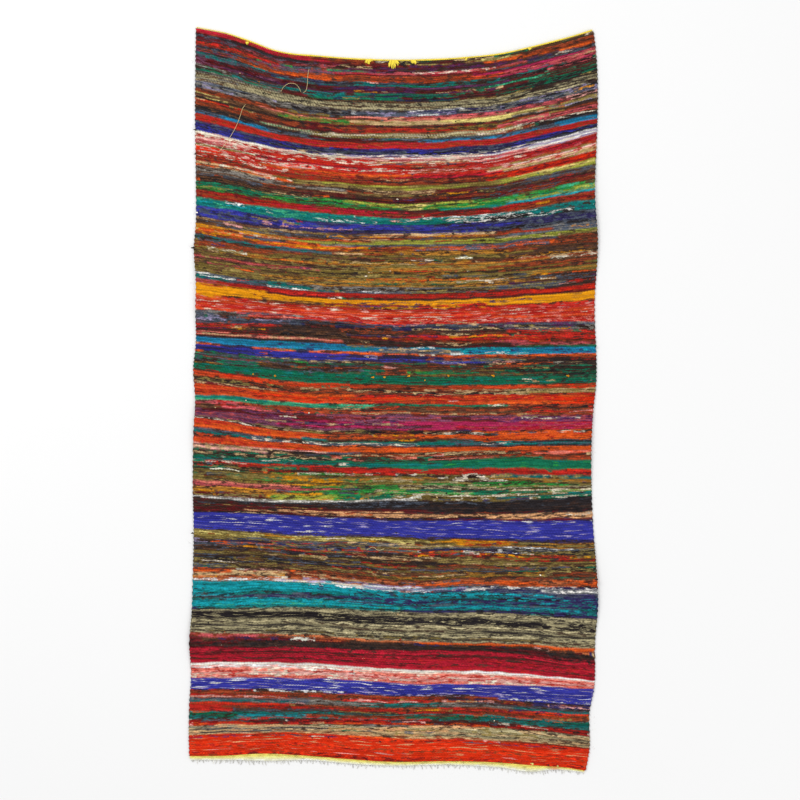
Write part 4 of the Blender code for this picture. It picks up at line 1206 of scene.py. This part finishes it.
def knots(table):
    """Strip ends that are knotted or tucked in: a bead and two short tails each."""
    t = np.linspace(0, 1, 7)
    swell = np.sin(np.pi * (0.15 + 0.7 * t))
    paths, radii, tints = [], [], []
    for x, y, name, size in table:
        for tail in range(3):
            turn = RNG.uniform(0, 2 * np.pi) if tail else 0
            reach, thick = (size * far for far in (KNOT_TAIL if tail else KNOT))
            reach = reach * RNG.uniform(0.8, 1.2)
            px = x + reach * np.cos(turn) * (t - 0.2) + (0.001 * size * np.sin(5 * t) if tail else 0)
            py = y + reach * 0.5 * np.sin(turn) * (t - 0.2)
            paths.append(on_face(px, py, 0.0002 + 0.0012 * size * np.sin(np.pi * t)))
            radii.append(thick * swell)
            tints.append(dye(name) * np.exp(RNG.normal(0, 0.15)))
    return tubes(paths, radii, 6, tints)


def loose_yarn():
    """Yellow tufts of the heading yarn and dark fluff at the upper end, stray threads, and
    knots: the placed ones, and small ones anywhere."""
    parts = [tufts(TUFTS, YELLOW_YARN, TUFT_RADIUS), tufts(DARK_FLUFF, DYES["charcoal"], FLUFF_RADIUS)]
    parts += [stray_thread(stops) for stops in STRAY_THREADS]
    dots = [(RNG.uniform(-0.43, 0.43), RNG.uniform(-0.78, 0.74),
             "charcoal" if RNG.random() < 0.75 else SCRAPS[RNG.integers(len(SCRAPS))],
             RNG.uniform(0.5, 0.95)) for _ in range(DOTS)]
    parts.append(knots([*KNOTS, *dots]))
    piece = mesh_object("loose_yarn_ends", *joined(parts))
    piece.data.materials.append(yarn_material("loose_yarn", 0.6, 700, 700, 0.1))


def lint():
    """Short fibres that stand off the face and the selvedges, in the rug's own colours."""
    x = RNG.uniform(-0.452, 0.452, LINT)
    side = RNG.random(LINT) < LINT_AT_EDGES
    x[side] = np.sign(x[side]) * RNG.uniform(0.444, 0.456, side.sum())
    y = RNG.uniform(-0.80, 0.76, LINT)
    turn = RNG.uniform(0, 2 * np.pi, LINT)[:, None]
    reach = RNG.uniform(0.002, 0.005, LINT)[:, None]
    bend = RNG.normal(0, 0.5, LINT)[:, None]
    t = np.linspace(0, 1, 5)
    px = x[:, None] + reach * (np.cos(turn) * t + bend * t**2 * 0.5)
    py = y[:, None] + reach * (np.sin(turn) * t - bend * t**2 * 0.4)
    rise = RNG.uniform(0.0004, 0.0016, LINT)[:, None] * np.sin(np.pi * 0.8 * t)
    tints = np.array([dye(name) for name in LINT_DYES])[RNG.integers(0, len(LINT_DYES), LINT)]
    piece = mesh_object("lint", *tubes(on_face(px, py, rise), LINT_RADIUS, 3, tints))
    piece.data.materials.append(yarn_material("lint_fibre", 0.3, 700, 700, 0.1))


def stage():
    """A wide pale floor, a large soft light above and to the upper left, a weaker one from
    the other side, and pale surroundings."""
    bpy.ops.mesh.primitive_plane_add(size=40)
    floor = bpy.context.object
    floor.name = "floor"
    floor.location.z = -0.0002
    finish = Finish("pale_floor", 0.0)
    finish.fill(finish.shader, {"Base Color": (0.86, 0.86, 0.86, 1)})
    floor.data.materials.append(finish.material)
    for name, place, size, power in (
        ("key", (-2.2, 2.4, 3.6), 2.6, 95), ("fill", (2.6, -1.6, 3.4), 3.2, 38),
    ):
        data = bpy.data.lights.new(name, "AREA")
        data.size, data.energy = size, power
        light = bpy.data.objects.new(name, data)
        light.location = place
        x, y, z = place
        light.rotation_euler = (
            math.acos(z / math.hypot(x, y, z)), 0, math.atan2(-y, -x) - math.pi / 2)
        bpy.context.scene.collection.objects.link(light)
    world = bpy.data.worlds.new("studio")
    world.use_nodes = True
    background = world.node_tree.nodes["Background"]
    background.inputs["Color"].default_value = (1, 1, 1, 1)
    background.inputs["Strength"].default_value = 0.75
    bpy.context.scene.world = world
    bpy.context.scene.view_settings.view_transform = "Standard"


def camera():
    """Straight above the rug, which fills most of the height of a square picture."""
    data = bpy.data.cameras.new("camera")
    data.lens, data.sensor_width, data.clip_end = 100, 36, 100
    view_width = 1.80
    eye = bpy.data.objects.new("camera", data)
    eye.location = (0.0146 + SHIFT_X, -0.0022 + SHIFT_Y, view_width * data.lens / data.sensor_width)
    bpy.context.scene.collection.objects.link(eye)
    bpy.context.scene.camera = eye


def main():
    x, y = cloth()
    top_cord(x, y)
    bottom_band(x, y)
    fringe(x, y)
    loose_yarn()
    lint()
    stage()
    camera()


main()
